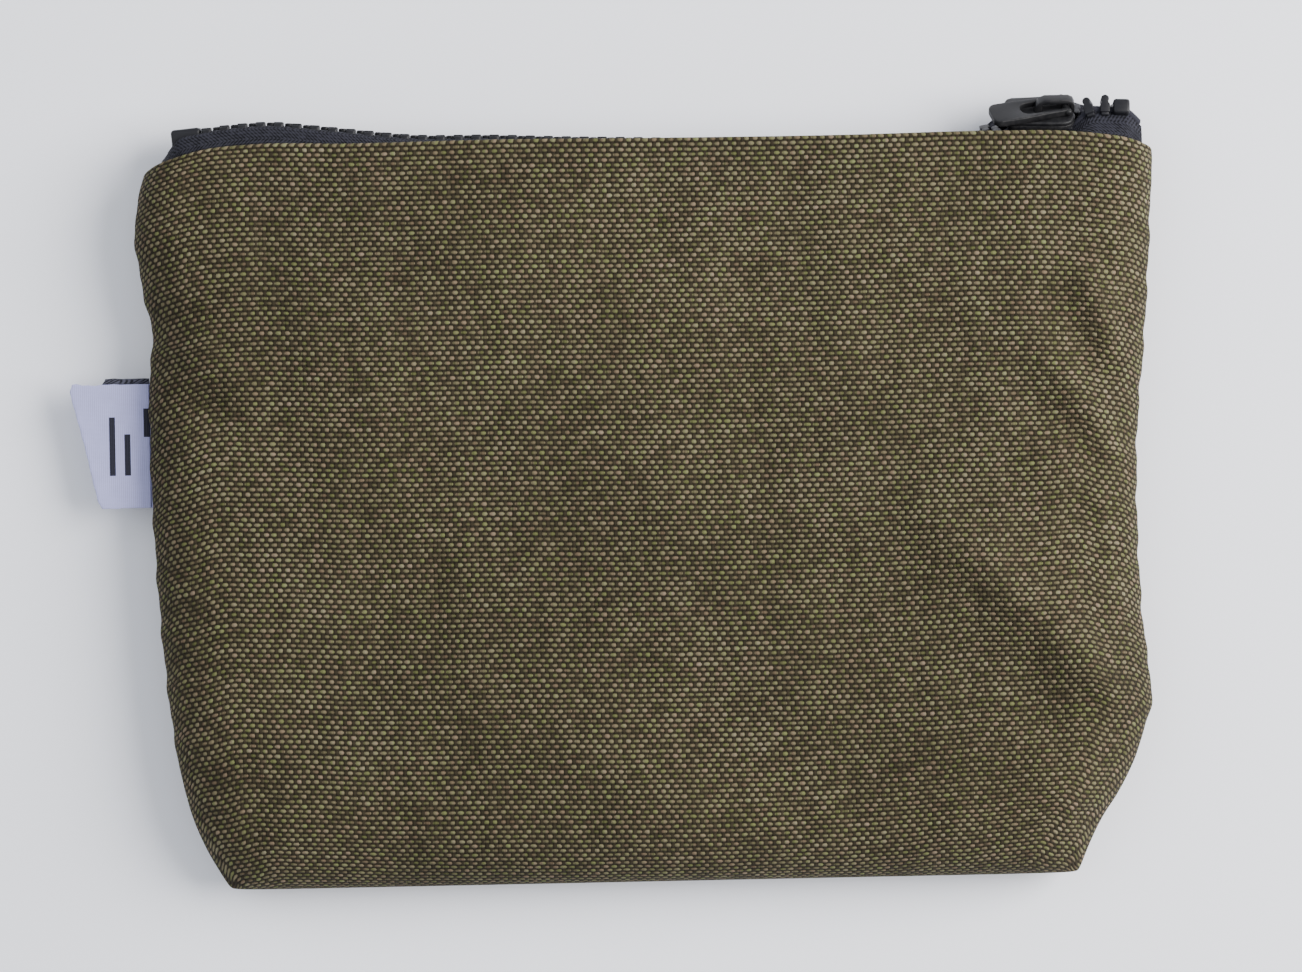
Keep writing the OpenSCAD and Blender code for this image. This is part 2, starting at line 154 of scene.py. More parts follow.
def sizes():
    return bpy.context.scene.pouch_sizes


def colours():
    return bpy.context.scene.pouch_colours


# ---- shader helpers ----


class Shader:
    """A material's node tree with short ways to make and join its nodes."""

    def __init__(self, name):
        self.material = bpy.data.materials.new(name)
        self.material.use_nodes = True
        self.nodes = self.material.node_tree.nodes
        self.links = self.material.node_tree.links
        self.bsdf = self.nodes["Principled BSDF"]

    def put(self, socket, value):
        if isinstance(value, bpy.types.NodeSocket):
            self.links.new(value, socket)
        else:
            socket.default_value = value

    def add(self, kind, output=0, settings=None, **inputs):
        node = self.nodes.new(kind)
        for key, value in (settings or {}).items():
            setattr(node, key, value)
        for key, value in inputs.items():
            self.put(node.inputs[key.replace("_", " ")], value)
        return node.outputs[output]

    def math(self, operation, a, b=0.0, c=0.0, clamp=False):
        node = self.nodes.new("ShaderNodeMath")
        node.operation = operation
        node.use_clamp = clamp
        for socket, value in zip(node.inputs, (a, b, c)):
            self.put(socket, value)
        return node.outputs[0]

    def plus(self, a, b):
        return self.math("ADD", a, b)

    def times(self, a, b):
        return self.math("MULTIPLY", a, b)

    def scaled(self, a, gain, offset, clamp=False):
        return self.math("MULTIPLY_ADD", a, gain, offset, clamp=clamp)

    def mix(self, factor, a, b, blend="MIX"):
        node = self.nodes.new("ShaderNodeMix")
        node.data_type = "RGBA"
        node.blend_type = blend
        self.put(node.inputs["Factor"], factor)
        colour_a, colour_b = (s for s in node.inputs if s.type == "RGBA")
        self.put(colour_a, a if isinstance(a, bpy.types.NodeSocket) else (*a, 1))
        self.put(colour_b, b if isinstance(b, bpy.types.NodeSocket) else (*b, 1))
        return next(s for s in node.outputs if s.type == "RGBA")

    def ramp(self, factor, stops):
        node = self.nodes.new("ShaderNodeValToRGB")
        band = node.color_ramp
        while len(band.elements) < len(stops):
            band.elements.new(0.5)
        for element, (place, colour) in zip(band.elements, stops):
            element.position = place
            element.color = (*colour, 1) if hasattr(colour, "__len__") else (colour,) * 3 + (1,)
        self.put(node.inputs[0], factor)
        return node.outputs[0]

    def vector(self, x, y, z=0.0):
        return self.add("ShaderNodeCombineXYZ", X=x, Y=y, Z=z)

    def noise(self, vector, scale, detail=2.0, roughness=0.5):
        return self.add(
            "ShaderNodeTexNoise", 0, Vector=vector, Scale=scale, Detail=detail, Roughness=roughness)

    def random(self, x, y):
        return self.add("ShaderNodeTexWhiteNoise", 0, {"noise_dimensions": "2D"}, Vector=self.vector(x, y))

    def object_place(self):
        return self.add("ShaderNodeTexCoord", 3)

    def cloth_place(self):
        """The cloth's own flat coordinates, in metres along and up the weave."""
        split = self.nodes.new("ShaderNodeSeparateXYZ")
        self.links.new(self.add("ShaderNodeUVMap", 0, {"uv_map": "Cloth"}), split.inputs[0])
        return split.outputs[0], split.outputs[1]

    def bump(self, height, distance, strength=1.0):
        self.put(self.bsdf.inputs["Normal"],
                 self.add("ShaderNodeBump", 0, Height=height, Distance=distance, Strength=strength))

    def finish(self, colour, roughness, sheen=0.0, metallic=0.0, coat=0.0, specular=0.5):
        self.put(self.bsdf.inputs["Base Color"], colour)
        self.put(self.bsdf.inputs["Roughness"], roughness)
        self.bsdf.inputs["Sheen Weight"].default_value = sheen
        self.bsdf.inputs["Sheen Roughness"].default_value = 0.6
        self.bsdf.inputs["Metallic"].default_value = metallic
        self.bsdf.inputs["Coat Weight"].default_value = coat
        self.bsdf.inputs["Specular IOR Level"].default_value = specular
        return self.material


def plain_weave(shader, across, up, warp_pitch, weft_pitch):
    """Heights of a plain weave: (warp, weft, column, row, warp place, weft place), heights up to 1."""
    s = shader.math("DIVIDE", across, warp_pitch)
    t = shader.math("DIVIDE", up, weft_pitch)
    column = shader.math("ROUND", s)
    row = shader.math("ROUND", t)
    side = shader.math("SUBTRACT", s, column)
    level = shader.math("SUBTRACT", t, row)

    def wave(whole, along):
        sign = shader.math("COSINE", shader.times(whole, math.pi))
        return shader.times(sign, shader.math("COSINE", shader.times(along, math.pi)))

    def yarn(swing, off_centre, middle, gain, narrow):
        lift = shader.scaled(swing, gain, middle)
        squared = shader.times(off_centre, off_centre)
        return shader.math("SUBTRACT", lift, shader.times(squared, narrow))

    warp = yarn(wave(column, t), side, 0.04, 0.4, 2.2)
    weft = yarn(wave(row, s), level, 0.5, -0.5, 7.0)
    return warp, weft, column, row, s, t


def canvas_material():
    """Yarn-dyed canvas: heathered olive weft over a dark brown warp, in a plain weave."""
    shader = Shader("heathered_canvas")
    c, size = colours(), sizes()
    across, up = shader.cloth_place()
    slack = shader.vector(across, up)
    wander = shader.scaled(shader.noise(slack, 520.0), 0.24 * MM, -0.12 * MM)
    drift = shader.scaled(shader.noise(slack, 430.0), 0.22 * MM, -0.11 * MM)
    warp, weft, column, row, s, t = plain_weave(
        shader, shader.plus(across, wander), shader.plus(up, drift), size.warp_pitch, size.weft_pitch)
    knot = shader.random(column, row)
    weft = shader.plus(weft, shader.scaled(knot, 0.5, -0.3))
    over = shader.math("SUBTRACT", weft, warp)
    shown = shader.scaled(over, 4.0, 0.5, clamp=True)

    def streak(x, x_scale, y, y_scale, detail):
        place = shader.vector(shader.times(x, x_scale), shader.times(y, y_scale))
        return shader.noise(place, 1.0, detail)

    along_weft = streak(s, 0.11, row, 5.7, 3.0)
    along_warp = streak(column, 4.3, t, 0.07, 2.0)
    cast = shader.noise(slack, 55.0, 3.0, 0.6)
    tone = shader.plus(shader.times(along_weft, 0.8), shader.times(knot, 0.3))
    tone = shader.plus(tone, shader.scaled(cast, 0.5, -0.28))
    weft_colour = shader.ramp(tone, [(0.3, c.weft_dark), (0.62, c.weft_light), (0.95, (0.21, 0.192, 0.12))])
    fibre = streak(s, 0.5, row, 3.1, 2.0)
    cast_colour = shader.ramp(
        fibre, [(0.36, (0.86, 1.04, 0.72)), (0.5, (1.0, 1.0, 1.0)), (0.64, (1.12, 0.93, 1.06))])
    weft_colour = shader.mix(1.0, weft_colour, cast_colour, "MULTIPLY")
    slub = shader.ramp(along_warp, [(0.4, 0.0), (0.75, 0.6)])
    warp_colour = shader.mix(slub, c.warp, (0.056, 0.044, 0.026))
    colour = shader.mix(shown, warp_colour, weft_colour)
    height = shader.math("MAXIMUM", warp, weft)
    shade = shader.ramp(height, [(0.0, 0.5), (0.55, 1.0)])
    colour = shader.mix(1.0, colour, shade, "MULTIPLY")
    broad = shader.ramp(shader.noise(slack, 22.0, 3.0, 0.55), [(0.32, 0.82), (0.7, 1.12)])
    colour = shader.mix(1.0, colour, broad, "MULTIPLY")
    fuzz = shader.noise(shader.vector(across, up), 9000.0, 2.0)
    shader.bump(shader.scaled(fuzz, 0.25, height), 0.16 * MM, 0.9)
    return shader.finish(colour, shader.scaled(fuzz, 0.2, 0.72), sheen=0.015, specular=0.08)


def cotton_material(name, colour, pitch):
    """A fine plain cotton in one colour, with a slightly uneven yarn."""
    shader = Shader(name)
    across, up = shader.cloth_place()
    warp, weft, column, row, _, _ = plain_weave(shader, across, up, pitch, pitch)
    height = shader.math("MAXIMUM", warp, weft)
    knot = shader.scaled(shader.random(column, row), 0.35, 0.8)
    shaded = shader.mix(1.0, tuple(colour), shader.ramp(height, [(0.1, 0.55), (0.5, 1.0)]), "MULTIPLY")
    shaded = shader.mix(1.0, shaded, shader.vector(knot, knot, knot), "MULTIPLY")
    shader.bump(height, 0.06 * MM, 0.7)
    return shader.finish(shaded, 0.85, sheen=0.1, specular=0.2)


def twill_material(name, colour, rib):
    """Woven tape: slanting ribs that turn back every few threads, with a painted highlight on the raised ribs
    and painted shade between them, broken up thread by thread.
    """
    shader = Shader(name)
    across, up = shader.cloth_place()
    s = shader.math("DIVIDE", across, rib)
    t = shader.math("DIVIDE", up, rib)
    zigzag = shader.math("PINGPONG", t, 3.0)
    ribs = shader.scaled(shader.math(
        "SINE", shader.times(shader.plus(s, zigzag), 2 * math.pi)), 0.5, 0.5)
    threads = shader.scaled(shader.math(
        "COSINE", shader.times(t, 2 * math.pi)), 0.5, 0.5)
    height = shader.plus(shader.times(ribs, 0.65), shader.times(threads, 0.35))
    knot = shader.random(shader.math("ROUND", s), shader.math("ROUND", t))
    # Painted highlight and painted shade: the colour is lighter on the raised ribs and darker between them,
    # with a random change from thread to thread.
    painted_rib_light = shader.ramp(shader.scaled(knot, 0.45, height), [(0.3, 0.4), (0.95, 2.6)])
    shader.bump(height, 0.09 * MM, 0.8)
    wear_and_highlight = shader.mix(1.0, tuple(colour), painted_rib_light, "MULTIPLY")
    return shader.finish(wear_and_highlight, 0.8, sheen=0.02, specular=0.1)


def plastic_material():
    """Moulded plastic: nearly black, satin, with a faint mould texture and rubbed high spots."""
    shader = Shader("moulded_plastic")
    place = shader.object_place()
    fine = shader.noise(place, 2600.0, 3.0)
    broad = shader.noise(place, 160.0, 2.0)
    wear_and_highlight = shader.ramp(broad, [(0.35, 0.0), (0.75, 0.7)])
    colour = shader.mix(wear_and_highlight, colours().plastic, (0.014, 0.014, 0.018))
    shader.bump(fine, 0.03 * MM, 0.5)
    return shader.finish(colour, shader.ramp(fine, [(0.3, 0.36), (0.7, 0.52)]), specular=0.25)


def enamel_material(name, colour, rough):
    """Enamelled die casting: dark and slightly uneven, rubbed towards bare metal along its edges."""
    shader = Shader(name)
    place = shader.object_place()
    edge = shader.ramp(shader.add("ShaderNodeNewGeometry", 7), [(0.5, 0.0), (0.62, 1.0)])
    grain = shader.noise(place, 1500.0, 4.0, 0.6)
    rubbed = shader.times(edge, shader.ramp(grain, [(0.4, 0.1), (0.65, 0.8)]))
    body = shader.mix(shader.ramp(shader.noise(place, 260.0), [(0.3, 0.0), (0.7, 0.6)]),
                      tuple(colour), tuple(1.6 * x for x in colour))
    shader.bump(grain, 0.02 * MM, 0.5)
    return shader.finish(shader.mix(rubbed, body, (0.045, 0.044, 0.043)),
                         shader.ramp(grain, [(0.3, rough), (0.7, rough + 0.16)]), coat=0.02, specular=0.2)


def label_material():
    """White satin label with a few plain woven bars."""
    shader = Shader("woven_satin")
    across, up = shader.cloth_place()
    ribs = shader.scaled(shader.math(
        "SINE", shader.times(across, 2 * math.pi / (0.17 * MM))), 0.5, 0.5)
    picks = shader.scaled(shader.math(
        "SINE", shader.times(up, 2 * math.pi / (0.26 * MM))), 0.5, 0.5)
    height = shader.plus(shader.times(ribs, 0.4), shader.times(picks, 0.6))
    bars = None
    for low, high, left, right in LABEL_BARS:
        inside = shader.times(
                             shader.math("COMPARE", across, (left + right) / 2 * MM, (right - left) / 2 * MM),
                             shader.math("COMPARE", up, (low + high) / 2 * MM, (high - low) / 2 * MM))
        bars = inside if bars is None else shader.math("MAXIMUM", bars, inside)
    # Painted shade and painted highlight: the satin is darker in the hollows of its weave and lighter on its
    # raised threads.
    cloth = shader.mix(shader.ramp(height, [(0.2, 0.0), (0.9, 1.0)]),
                       tuple(0.82 * x for x in colours().label), tuple(1.06 * x for x in colours().label))
    soft = shader.noise(shader.vector(across, up), 420.0, 3.0)
    cloth = shader.mix(1.0, cloth, shader.ramp(soft, [(0.3, 0.92), (0.7, 1.0)]), "MULTIPLY")
    # The woven bars' dark colour is their own; it is painted lighter on the raised threads as a painted
    # highlight.
    ink = shader.mix(height, (0.006, 0.006, 0.012), (0.02, 0.02, 0.035))
    shader.bump(height, 0.03 * MM, 0.6)
    return shader.finish(shader.mix(bars, cloth, ink), shader.ramp(height, [(0.2, 0.6), (0.9, 0.45)]),
                         sheen=0.03, specular=0.2)


def thread_material():
    """Spun sewing thread with a fine twist."""
    shader = Shader("sewing_thread")
    twist = shader.add("ShaderNodeTexWave", 0, {"wave_type": "BANDS", "bands_direction": "DIAGONAL"},
                       Vector=shader.object_place(), Scale=900.0, Distortion=1.5)
    colour = shader.mix(twist, (0.012, 0.011, 0.008), (0.05, 0.045, 0.03))
    shader.bump(twist, 0.03 * MM, 0.6)
    return shader.finish(colour, 0.7, sheen=0.2, specular=0.3)


# ---- mesh helpers ----


def material_once(name, make):
    return bpy.data.materials.get(name) or make()


def new_piece(name, points, faces, material, uvs=None, smooth=True):
    """A mesh from points in millimetres. uvs holds a cloth place in metres for each point."""
    mesh = bpy.data.meshes.new(name)
    mesh.from_pydata([tuple(p) for p in np.asarray(points) * MM], [], faces)
    mesh.validate()
    if smooth:
        mesh.shade_smooth()
    if uvs is not None:
        layer = mesh.uv_layers.new(name="Cloth")
        corners = np.empty(len(mesh.loops), dtype=np.int32)
        mesh.loops.foreach_get("vertex_index", corners)
        layer.data.foreach_set("uv", np.asarray(uvs, dtype=np.float32)[corners].ravel())
    mesh.materials.append(material)
    piece = bpy.data.objects.new(name, mesh)
    bpy.context.scene.collection.objects.link(piece)
    return piece


def dress(piece, body, slot, *nodes):
    """Rides the piece on its body, in place of its frame nodes."""
    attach(piece, body)
    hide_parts(*nodes)
    return piece


def ring_faces(rows, columns, closed_rows=False, closed_columns=False):
    """Quads over a grid of points stored row by row."""
    faces = []
    for j in range(rows if closed_rows else rows - 1):
        for i in range(columns if closed_columns else columns - 1):
            a, b = j * columns + i, j * columns + (i + 1) % columns
            c, d = ((j + 1) % rows) * columns + (i + 1) % columns, ((j + 1) % rows) * columns + i
            faces.append((a, b, c, d))
    return faces


def smooth_line(x, places, values):
    """A smooth curve through a few (place, value) pairs, flat past its ends."""
    places, values = np.asarray(places, float), np.asarray(values, float)
    slopes = np.gradient(values, places)
    x = np.clip(np.asarray(x, float), places[0], places[-1])
    i = np.clip(np.searchsorted(places, x, side="right") - 1, 0, len(places) - 2)
    step = places[i + 1] - places[i]
    t = (x - places[i]) / step
    return ((2 * t**3 - 3 * t**2 + 1) * values[i] + (t**3 - 2 * t**2 + t) * step * slopes[i]
            + (3 * t**2 - 2 * t**3) * values[i + 1] + (t**3 - t**2) * step * slopes[i + 1])


def ease(x, low, high):
    """0 below low, 1 above high, and a smooth step between."""
    t = np.clip((np.asarray(x, float) - low) / (high - low), 0, 1)
    return t * t * (3 - 2 * t)


# ---- the pouch's shape ----

# Half width of the pouch at a few heights above its bottom edge, down each side.
LEFT_SIDE = [
    (0, 56.8), (2, 57.9), (5.5, 59.8), (9, 61.3), (14, 62.7), (20, 63.8), (26, 64.5), (40, 65.6),
    (60, 66.2), (70, 66.0), (73, 65.6), (79, 66.6), (87, 67.7), (93, 67.0), (97.5, 65.4), (99.6, 64.2)]
RIGHT_SIDE = [
    (0, 56.3), (3, 57.4), (7.5, 59.6), (10.5, 61.6), (13.8, 63.4), (18.8, 65.3), (22, 66.3), (26, 66.3),
    (31, 65.7), (46, 65.0), (58, 65.2), (72, 66.5), (91, 67.7), (96, 67.9), (98.5, 67.4), (99.6, 66.6)]

# Y of the front panel's folded edge, at shares of its half width.
TOP_EDGE = [
    (-1, 45.6), (-0.975, 46.6), (-0.94, 47.4), (-0.89, 48.3), (-0.81, 48.8), (-0.6, 48.7), (-0.3, 48.85),
    (0, 48.65), (0.4, 48.5), (0.7, 48.6), (0.83, 48.4), (0.9, 47.9), (0.96, 47.2), (1, 46.3)]

# Soft folds of the front panel: both ends of each, its half width, and how high it stands.
FOLDS = [
    (34, 1, 64, -27.5, 2.6, 1.25), (29, -7, 58, -33, 3.0, -0.4), (43, 8, 66, -9, 2.6, -0.55),
    (57, 31, 65, 17, 1.7, 0.9), (54, 26, 64, 11.5, 1.8, -0.7), (53, 18, 65, 3.5, 1.8, 0.9),
    (49, 15, 61, 4, 2.2, -0.6), (-50, 38, -14, -30, 7.0, 0.7), (-52, 14, -26, -14, 8.5, -0.8),
    (17, -5, 27, -19, 6.0, -0.6), (50, -38, 60, -32, 4.5, 0.8), (-5, 20, 20, 2, 9.0, -0.35),
    (-45, -36, -30, -33, 6.0, 0.45), (-20, 36, 5, 33, 7.0, -0.4), (25, 40, 52, 30, 7.0, 0.35),
    (-63, 24, -52, 16, 2.2, 0.7), (-64, 17, -54, 12, 1.8, -0.6),
]


def edge_rise(d, r):
    share = np.clip(np.asarray(d, float) / r, 0, 1)
    return (1 - (1 - share) ** EDGE_POWER) ** (1 / EDGE_POWER)


def side_width(side, h):
    """Half width on one side at height h above the bottom edge, with the seam's slight puckers."""
    table = LEFT_SIDE if side < 0 else RIGHT_SIDE
    width = smooth_line(h, *zip(*table))
    pucker = np.sin(h * 0.83 + 1.3 * side) * 0.10 + np.sin(h * 1.71 + 0.4 + side) * 0.06
    return width + pucker * ease(h, 12, 24) * (1 - ease(h, 88, 96))


def half_width(x, h):
    return np.where(x < 0, side_width(-1, h), side_width(1, h))


def folds(x, y):
    """Height of the front panel's folds."""
    total = np.zeros_like(x)
    for x0, y0, x1, y1, width, height in FOLDS:
        along = np.array([x1 - x0, y1 - y0], float)
        length = np.hypot(*along)
        along /= length
        s = (x - x0) * along[0] + (y - y0) * along[1]
        d = -(x - x0) * along[1] + (y - y0) * along[0]
        taper = ease(s, -0.25 * length, 0.35 * length) * (1 - ease(s, 0.75 * length, 1.2 * length))
        total += height * taper * np.exp(-0.5 * (d / width) ** 2)
    ripple = (np.sin(0.21 * x + 0.13 * y + 0.6) * np.sin(0.17 * y - 0.08 * x + 1.1)
              + 0.5 * np.sin(0.43 * x - 0.31 * y + 2.0) * np.sin(0.29 * x + 0.37 * y))
    return (total + 0.22 * ripple) * sizes().fold_depth


def seam_pucker(x, y, d):
    """Small gathers that run in from a seam, at distance d from it."""
    wave = np.sin(0.95 * y + 0.4 * np.sin(0.31 * y) + 0.23 * x) + 0.6 * np.sin(1.6 * y + 1.0 + 0.35 * x)
    return 0.13 * wave * np.exp(-((d - 3.0) / 3.2) ** 2)


def crest(h):
    """Highest line of the front panel at height h."""
    return EDGE_Z + (LOFT - EDGE_Z) * (1 - np.clip(h / (EDGE_Y - BOTTOM_Y), 0, 1) ** 2)


def seam_gap(x, h):
    """Half the gap between the two faces at the seam, wider where the label is sewn in."""
    y = h + BOTTOM_Y
    return 0.3 + 0.34 * ease(-x, 50, 60) * ease(y, -1, 3) * (1 - ease(y, 16.5, 20.5))


def front_z(x, h, k):
    d = half_width(x, h) - k - np.abs(x)
    low = h - k
    round_in = TOP_ROUND + (SIDE_ROUND - TOP_ROUND) * ease(EDGE_Y - BOTTOM_Y - h, 0, 40)
    rise = edge_rise(low, BOTTOM_ROUND) * edge_rise(d, round_in)
    inner = ease(np.minimum(d, low), 0.5, 9) * (1 - 0.8 * ease(h, 92, 98))
    y = h + BOTTOM_Y
    lift = folds(x, y) * inner + seam_pucker(x, y, d) * ease(d, 0.2, 2) * ease(low, 1, 5)
    seam = SEAM_Z + seam_gap(x, h)
    return seam + (crest(h) - k - seam) * rise + lift


def back_z(x, h, k):
    d = half_width(x, h) - k - np.abs(x)
    rise = edge_rise(h - k, BACK_ROUND) * edge_rise(d, BACK_ROUND)
    seam = SEAM_Z - seam_gap(x, h)
    return seam - (seam - k) * rise


def front_top(u):
    """Height of the front panel's folded edge above the bottom, drooping to its corners."""
    return smooth_line(u, *zip(*TOP_EDGE)) - BOTTOM_Y


def back_top(u):
    """The back panel's edge stays just under the front one."""
    return front_top(u) - 1.3


def cloth_points(front, columns, rows, k, inset=0.0, lip=0.0):
    """One face of a cloth layer, as rows of points from the bottom seam to the zip."""
    u = np.sin(np.linspace(-1, 1, columns + 1) * math.pi / 2)[None, :]
    t = np.linspace(0, 1, rows + 1)[:, None]
    low = k + inset
    high = (front_top(u) if front else back_top(u)) - lip
    h = low + (high - low) * (1 - np.cos(t * math.pi / 2))
    x = u * (half_width(u, h) - k - inset)
    z = front_z(x, h, k) if front else back_z(x, h, k)
    points = np.stack([x, h + BOTTOM_Y, z], axis=-1)
    return turn_in(points, half_width(x, h) - k - np.abs(x), h - k)


def turn_in(points, side_gap, bottom_gap):
    """Draws the cloth in where it turns into a side or bottom seam."""
    near = np.clip(1.33 - np.abs(points[..., 2] - SEAM_Z) / 0.9, 0, 1) ** 2
    points[..., 0] -= np.sign(points[..., 0]) * 0.45 * near * np.exp(-side_gap)
    points[..., 1] += 0.45 * near * np.exp(-bottom_gap)
    return points


def arc_lengths(points):
    """Flat cloth coordinates in metres: along each row from the middle, and down each column from the zip."""
    across = np.linalg.norm(np.diff(points, axis=1), axis=2)
    u = np.concatenate([np.zeros((len(points), 1)), np.cumsum(across, axis=1)], axis=1)
    u -= u[:, [points.shape[1] // 2]]
    down = np.linalg.norm(np.diff(points, axis=0), axis=2)
    v = np.concatenate([np.zeros((1, points.shape[1])), np.cumsum(down, axis=0)], axis=0)
    v -= v[-1:]
    return np.stack([u, v], axis=-1) * MM


def cloth_shell(name, outer, inner, material, rim=4):
    """A closed cloth between two faces, with a rounded rim all round."""
    rows, columns = outer.shape[:2]
    uv = arc_lengths(outer)
    count = rows * columns
    points = [outer.reshape(-1, 3), inner.reshape(-1, 3)]
    uvs = [uv.reshape(-1, 2), uv.reshape(-1, 2)]
    faces = ring_faces(rows, columns)
    faces += [tuple(count + i for i in reversed(face)) for face in ring_faces(rows, columns)]
    border = [(0, i) for i in range(columns)] + [(j, columns - 1) for j in range(1, rows)]
    border += [(rows - 1, i) for i in range(columns - 2, -1, -1)] + [(j, 0) for j in range(rows - 2, 0, -1)]
    previous = [j * columns + i for j, i in border]
    last = [count + index for index in previous]
    js, is_ = np.array(border).T
    a, b = outer[js, is_], inner[js, is_]
    inward = np.array([outer[min(max(j, 1), rows - 2), min(max(i, 1), columns - 2)] for j, i in border])
    outward = a - inward
    outward /= np.maximum(np.linalg.norm(outward, axis=1, keepdims=True), 1e-6)
    thick = np.linalg.norm(b - a, axis=1, keepdims=True) / 2
    total = 2 * count
    for step in range(1, rim):
        angle = math.pi * step / rim
        ring = (a + b) / 2 + (a - b) / 2 * math.cos(angle) + outward * thick * math.sin(angle) * 0.8
        points.append(ring)
        uvs.append(uv[js, is_])
        current = list(range(total, total + len(ring)))
        total += len(ring)
        faces += [(previous[(i + 1) % len(border)], previous[i], current[i], current[(i + 1) % len(border)])
                  for i in range(len(border))]
        previous = current
    faces += [(previous[(i + 1) % len(border)], previous[i], last[i], last[(i + 1) % len(border)])
              for i in range(len(border))]
    piece = new_piece(name, np.concatenate(points), faces, material, np.concatenate(uvs))
    mend_normals(piece)
    return piece


def mend_normals(piece):
    """Turns every face outward."""
    work = bmesh.new()
    work.from_mesh(piece.data)
    bmesh.ops.recalc_face_normals(work, faces=work.faces)
    work.to_mesh(piece.data)
    work.free()


# ---- the zip's path ----

# Where the chain's middle runs in Y, away from the straight line through the slider, and how its face tilts.
CHAIN_LINE = [
    (-64, 49.6), (-60, 50.4), (-54, 51.2), (-49, 51.4), (-44, 50.9), (-39, 50.3), (-30, 49.3), (-20, 49.1),
    (-11, 48.7), (-2, 48.4), (10, 48.0), (39, 47.7), (44, 47.9), (47, 48.9), (49.3, ZIP_Y - 0.15),
    (51, ZIP_Y), (60, ZIP_Y), (67, ZIP_Y - 0.4)]
TILTS = [(-67, 4), (-58, 3), (-30, 2), (0, 2), (38, 4), (44, 14), (49, 38), (51, 40), (58, 40), (67, 40)]


def zip_frame(x, side):
    """The middle of one row's chain, its across direction and its outward direction at x.

    Past the slider the front row lifts and turns back, and both rows curl down into the side seams.
    """
    x = np.asarray(x, float)
    past = ease(x, 56.4, 60.0)
    turned = past * (34 if side < 0 else -12)
    tilt = np.radians(smooth_line(x, *zip(*TILTS)) + TILT - 40 + turned)
    curl = np.maximum(ease(x, 63.8, 67.5), 1.2 * ease(-x, 60.5, 64.5))
    rise = past * (1.0 if side < 0 else 0.0)
    middle = np.stack([x, smooth_line(x, *zip(*CHAIN_LINE)) + 3.2 * rise - 2.2 * curl,
                       ZIP_Z + 2.3 * rise - 1.8 * curl], axis=-1)
    across = np.stack([0 * x, np.sin(tilt), -np.cos(tilt)], axis=-1)
    out = np.stack([0 * x, np.cos(tilt), np.sin(tilt)], axis=-1)
    return middle, across, out


def through(points, samples):
    """Smooth lines through columns of points: shape (count, stations, 3) to (samples, stations, 3)."""
    count = len(points)
    at = np.linspace(0, count - 1, samples)
    places = np.arange(count)
    flat = points.reshape(count, -1)
    lines = [smooth_line(at, places, flat[:, i]) for i in range(flat.shape[1])]
    return np.stack(lines, axis=1).reshape(samples, *points.shape[1:])


# ---- solid helpers ----


def baked(work):
    """Points and faces of a bmesh, which is freed."""
    bmesh.ops.recalc_face_normals(work, faces=work.faces)
    work.verts.index_update()
    points = np.array([v.co[:] for v in work.verts])
    faces = [tuple(v.index for v in face.verts) for face in work.faces]
    work.free()
    return points, faces


def soften(work, bevel, segments):
    """Rounds every sharp edge."""
    sharp = [edge for edge in work.edges if len(edge.link_faces) == 2 and edge.calc_face_angle() > 0.5]
    bmesh.ops.bevel(work, geom=sharp, offset=bevel, segments=segments, profile=0.5, affect="EDGES",
                    clamp_overlap=True)


def prism(outline, low, high, bevel=0.12, segments=3):
    """A flat solid over an outline, with rounded edges."""
    work = bmesh.new()
    base = work.faces.new([work.verts.new((x, y, low)) for x, y in outline])
    raised = bmesh.ops.extrude_face_region(work, geom=[base])["geom"]
    for vert in (v for v in raised if isinstance(v, bmesh.types.BMVert)):
        vert.co.z = high
    bmesh.ops.recalc_face_normals(work, faces=work.faces)
    soften(work, bevel, segments)
    return baked(work)


def windowed(outer, inner, low, high, bevel=0.12, segments=3):
    """A flat solid between two outlines of equally many points, with rounded edges."""
    work = bmesh.new()
    rings = [[work.verts.new((x, y, z)) for x, y in loop] for loop, z in
             ((outer, low), (outer, high), (inner, high), (inner, low))]
    for a, b in zip(rings, rings[1:] + rings[:1]):
        for i in range(len(outer)):
            j = (i + 1) % len(outer)
            work.faces.new((a[i], a[j], b[j], b[i]))
    bmesh.ops.recalc_face_normals(work, faces=work.faces)
    soften(work, bevel, segments)
    return baked(work)


def tube(path, radius, sides=12, end=0.6):
    """A round rod along a path, with domed ends."""
    path = np.asarray(path, float)
    along = np.gradient(path, axis=0)
    along /= np.linalg.norm(along, axis=1, keepdims=True)
    guide = np.array([0.0, 0.0, 1.0]) if abs(along[0][2]) < 0.9 else np.array([0.0, 1.0, 0.0])
    side = np.cross(along, guide)
    side /= np.linalg.norm(side, axis=1, keepdims=True)
    up = np.cross(side, along)
    angles = np.linspace(0, 2 * math.pi, sides, endpoint=False)
    centres = [path[0] - along[0] * radius * end] + list(path) + [path[-1] + along[-1] * radius * end]
    sides_, ups = [side[0]] + list(side) + [side[-1]], [up[0]] + list(up) + [up[-1]]
    radii = [radius * 0.45] + [radius] * len(path) + [radius * 0.45]
    points = [c + r * (math.cos(a) * s + math.sin(a) * u) for c, s, u, r in zip(centres, sides_, ups, radii)
              for a in angles]
    faces = ring_faces(len(centres), sides, closed_columns=True)
    last = len(points) - sides
    faces += [tuple(range(sides)), tuple(reversed(range(last, last + sides)))]
    return np.array(points), faces


def joined(parts):
    points, faces, count = [], [], 0
    for some, theirs in parts:
        faces += [tuple(i + count for i in face) for face in theirs]
        points.append(some)
        count += len(some)
    return np.concatenate(points), faces


def arc(centre, radius, start, end, steps):
    angles = np.radians(np.linspace(start, end, steps))
    return [(centre[0] + radius * math.cos(a), centre[1] + radius * math.sin(a)) for a in angles]


